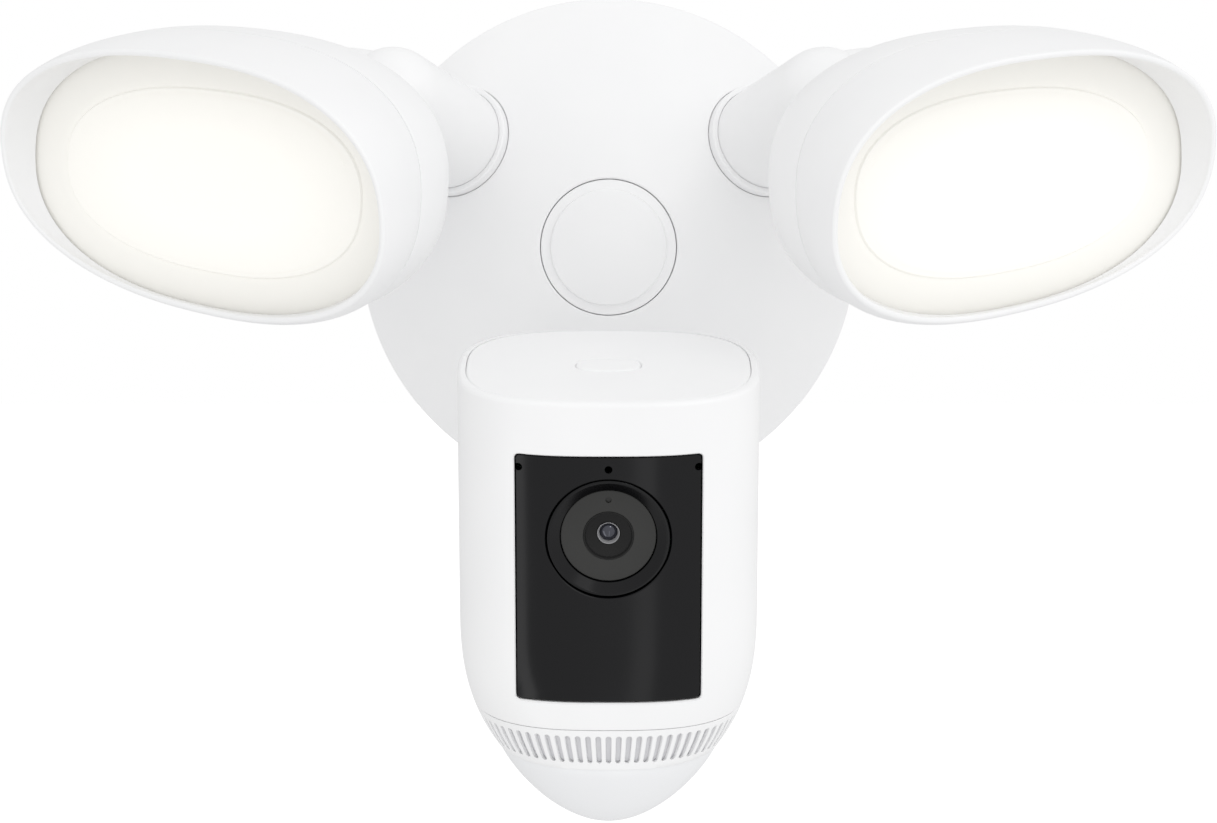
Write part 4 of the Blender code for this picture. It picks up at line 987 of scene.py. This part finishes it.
def grille_shape():
    """Band with round-ended slots; each slot's rim is joined to the rim of its own cell."""
    surface = Surface()
    arc_steps = 8
    side_steps = 3
    length = float(np.sum(np.linalg.norm(np.diff(
        body_ring((SLOT_TOP + SLOT_BOTTOM) / 2.0, 0.0, 720), axis=0), axis=1)))
    pitch = length / SLOT_COUNT
    half = SLOT_SHARE * pitch / 2.0
    margin = 0.7
    cell_top = SLOT_TOP - margin
    cell_bottom = SLOT_BOTTOM + margin

    def slot_rim(grow):
        radius = half + grow
        high = SLOT_TOP + half
        low = SLOT_BOTTOM - half
        right = [(radius, low + (high - low) * k / side_steps) for k in range(side_steps + 1)]
        left = [(-u, v) for u, v in reversed(right)]
        top = [(u, v) for u, v in arc((0.0, high), radius, 0, -180, arc_steps)][1:-1]
        bottom = [(u, v) for u, v in arc((0.0, low), radius, 180, 0, arc_steps)][1:-1]
        return [*right, *top, *left, *bottom]

    edge = pitch / 2.0
    rise = [cell_bottom + (cell_top - cell_bottom) * k / side_steps for k in range(side_steps + 1)]
    across = [edge * (1.0 - 2.0 * k / arc_steps) for k in range(1, arc_steps)]
    cell_rim = [*[(edge, v) for v in rise], *[(u, cell_top) for u in across],
                *[(-edge, v) for v in reversed(rise)], *[(-u, cell_bottom) for u in across]]
    chamfer = 0.12
    layers = [(cell_rim, 0.0), (slot_rim(chamfer), 0.0), (slot_rim(0.0), chamfer),
              (slot_rim(0.0), GRILLE_WALL), (cell_rim, GRILLE_WALL)]
    cells = []
    middles = (np.arange(SLOT_COUNT) + 0.5) / SLOT_COUNT
    columns = [[surface.points(middles + u / length, v, inset) for u, v in rim]
               for rim, inset in layers]
    for k in range(SLOT_COUNT):
        rings = [np.array([column[k] for column in layer]) for layer in columns]
        cells.append(loft(rings, caps=False))

    shares = np.arange(SLOT_COUNT * arc_steps) / (SLOT_COUNT * arc_steps)
    top = GRILLE_TOP + SEAM
    edge_cut = 0.2
    strips = []
    for start, end in ((cell_top, top), (cell_bottom, GRILLE_BOTTOM)):
        turn = math.copysign(edge_cut, end - start)
        path = [(start, GRILLE_WALL), (end, GRILLE_WALL), (end, edge_cut), (end - turn, 0.0),
                (start, 0.0)]
        strips.append(loft([surface.points(shares, depth, inset) for depth, inset in path],
                           caps=False))
    return merged([*cells, *strips])


def build_grille():
    add("grille_ring", grille_shape(), UNIT, WHITE)
    front = GRILLE_WALL + 0.1
    back = front + 0.6
    depths = np.linspace(GRILLE_TOP + 0.6, GRILLE_BOTTOM - 0.4, 8)
    rings = [*[body_ring(d, front) for d in depths], *[body_ring(d, back) for d in depths[::-1]]]
    add_extra("acoustic_cloth", loft(rings, closed=True), UNIT, CLOTH)


def build_sensor_dome():
    top = GRILLE_BOTTOM + SEAM
    drop = DOME_TIP - top
    thick = 1.2

    def wall(inset, shares):
        rings = []
        for share in shares:
            reach = (1.0 - share ** 1.22) ** (1.0 / 1.8)
            half = (DOME_HALF[0] * reach - inset, DOME_HALF[1] * reach - inset)
            rings.append(oval(half, 2.0 + 0.25 * (1.0 - share), -(top + share * (drop - inset))))
        return rings

    shares = 1.0 - (1.0 - np.linspace(0.0, 1.0, 46)[:-1]) ** 2.0
    inner = [ring for ring in wall(thick, shares) if ring[0][0] > 1.5]
    edge = oval((DOME_HALF[0] - DOME_CORNER, DOME_HALF[1] - DOME_CORNER), 2.25, -top)
    outer = wall(0.0, shares)[1:]
    rings = [np.array([[0.0, 0.0, -DOME_TIP + thick]]), *reversed(inner), edge, *outer,
             np.array([[0.0, 0.0, -DOME_TIP]])]
    add("sensor_dome", loft(rings), UNIT, DOME)


def build_ball_joint():
    add("collar_stem", collar_shape(), STEM, WHITE)
    neck_angle = math.degrees(math.acos(NECK_RADIUS / BALL_RADIUS))
    bore_angle = math.degrees(math.acos(STEM_BORE / BALL_RADIUS))
    ball = arc((0.0, STEM_LENGTH), BALL_RADIUS, -neck_angle, bore_angle, 28)
    neck_end = ball[0][1]
    profile = [(STEM_BORE, SHANK_END), (SHANK_RADIUS, SHANK_END, 0.4), (SHANK_RADIUS, FOOT),
               (ARM_ROOT_RADIUS, FOOT, 0.3), (ARM_ROOT_RADIUS, 2.0, 4.0), (12.4, 12.0, 9.0),
               (9.6, 22.0, 12.0), (6.2, 30.5, 6.0), (NECK_RADIUS, 34.5, 2.0),
               (NECK_RADIUS, neck_end - GAP, 0.2), (STEM_BORE, neck_end - GAP)]
    add("camera_stem", turned_loop(profile), STEM, WHITE)
    add("stem_ball", turned([(STEM_BORE, neck_end), *ball], closed=True), STEM, WHITE)
    lip = 90.0 - CUP_LIP_ANGLE - 2.0
    liner = [*arc((0.0, 0.0), LINER_RADII[0], -70, lip, 20),
             *arc((0.0, 0.0), LINER_RADII[1], lip, -70, 20)]
    add("ball_liner", turned(liner, closed=True), CUP, NYLON)
    build_clamp_ring()


def build_clamp_ring():
    """Ring nut round the cup, with flutes for the fingers."""
    profile = rounded([(CUP_RADIUS + GAP, -4.4), (RING_RADIUS, -4.4, 0.6), (RING_RADIUS, 4.2, 0.6),
                       (CUP_RADIUS + GAP, 4.2)], closed=True)
    count = RING_FLUTES * 8
    phase = 2.0 * math.pi * np.arange(count) * RING_FLUTES / count
    groove = 0.7 * np.clip(np.cos(phase), 0.0, 1.0) ** 1.5
    rings = []
    for radius, height in profile:
        ring = circle(1.0, height, count)
        depth = np.where(radius > CUP_RADIUS + 1.5, groove, 0.0)
        ring[:, :2] *= (radius - depth)[:, None]
        rings.append(ring)
    add("socket_clamp_ring", loft(rings, closed=True), CUP, WHITE)


# --- Picture ---------------------------------------------------------------------------------

def build_floor():
    """Evenly bright floor. It shows to the camera only, and the world lights the object."""
    size = 60.0
    mesh = bpy.data.meshes.new("floor")
    mesh.from_pydata([(-size, -size, FLOOR_HEIGHT), (size, -size, FLOOR_HEIGHT),
                      (size, size, FLOOR_HEIGHT), (-size, size, FLOOR_HEIGHT)], [], [(0, 1, 2, 3)])
    floor = bpy.data.objects.new("floor", mesh)
    bpy.context.scene.collection.objects.link(floor)
    material, shader = start_material("pale_floor", (0.3, 0.3, 0.3), 1.0)
    shader.inputs["Emission Color"].default_value = (1.0, 1.0, 1.0, 1.0)
    shader.inputs["Emission Strength"].default_value = 0.85
    shader.inputs["Specular IOR Level"].default_value = 0.0
    mesh.materials.append(material)
    floor.visible_diffuse = False
    floor.visible_glossy = False


def add_light(name, place, target, size, power):
    data = bpy.data.lights.new(name, "AREA")
    data.shape = "RECTANGLE"
    data.size, data.size_y = size
    data.energy = power
    lamp = bpy.data.objects.new(name, data)
    bpy.context.scene.collection.objects.link(lamp)
    lamp.location = place
    lamp.rotation_euler = (Vector(target) - Vector(place)).to_track_quat("-Z", "Y").to_euler()
    lamp.visible_camera = False
    return lamp


def build_world():
    """White behind the object; for light, a soft dome, brighter in front and at the right."""
    world = bpy.data.worlds.new("studio")
    world.use_nodes = True
    tree = world.node_tree
    background = tree.nodes["Background"]
    background.inputs["Color"].default_value = (1.0, 1.0, 1.0, 1.0)
    place = add_node(tree, "TexCoord")
    lean = add_node(tree, "VectorMath", {"operation": "DOT_PRODUCT"})
    lean.inputs[1].default_value = LEAN_OF_LIGHT
    level = add_node(tree, "Math", {"operation": "ADD"})
    level.inputs[1].default_value = STUDIO
    path = add_node(tree, "LightPath")
    seen = add_node(tree, "Mix", {"data_type": "FLOAT"}, {"B": 1.0})
    tree.links.new(place.outputs["Generated"], lean.inputs[0])
    tree.links.new(lean.outputs["Value"], level.inputs[0])
    tree.links.new(path.outputs["Is Camera Ray"], seen.inputs["Factor"])
    tree.links.new(level.outputs["Value"], seen.inputs["A"])
    tree.links.new(seen.outputs["Result"], background.inputs["Strength"])
    bpy.context.scene.world = world


def build_lights():
    """Key from the upper right, and three lights that show only as reflections."""
    middle = (0.0, -0.07, -0.03)
    add_light("key", (1.2, -1.4, 1.3), middle, (1.2, 1.2), 3.5)
    glint = add_light("glint", (0.32, -1.0, 0.33), middle, (0.16, 0.16), 0.5)
    glint.visible_diffuse = False
    window = Vector((0.0, -0.125, -0.08))
    distance, length = 1.5, 1.4
    fall = math.radians(40.0)
    for name, azimuth, width, power in (("strip_left", -47.0, 0.30, 1.9),
                                        ("strip_right", 9.0, 0.20, 0.7)):
        turn = math.radians(azimuth)
        away = Vector((math.sin(turn) * math.cos(fall), -math.cos(turn) * math.cos(fall),
                       -math.sin(fall)))
        strip = add_light(name, window + distance * away, window, (width, length), power)
        strip.visible_diffuse = False


def build_camera():
    data = bpy.data.cameras.new("camera")
    data.lens = CAMERA_LENS
    data.sensor_width = 36.0
    camera = bpy.data.objects.new("camera", data)
    bpy.context.scene.collection.objects.link(camera)
    camera.location = (0.0, -CAMERA_DISTANCE, 0.0)
    camera.rotation_euler = (math.radians(90.0 - CAMERA_DIP), 0.0, 0.0)
    bpy.context.scene.camera = camera
    bpy.context.scene.view_settings.view_transform = "Standard"


def main():
    paint_cad_nodes()
    build_cover()
    build_centre()
    build_rear()
    for word, side in (("left", -1), ("right", 1)):
        build_arm(word, side)
        build_housing(word, side)
        build_bezel(word, side)
        build_diffuser(word, side)
    build_ball_joint()
    build_shells()
    build_lid()
    build_window()
    build_optics()
    build_grille()
    build_sensor_dome()
    build_floor()
    build_world()
    build_lights()
    build_camera()


main()
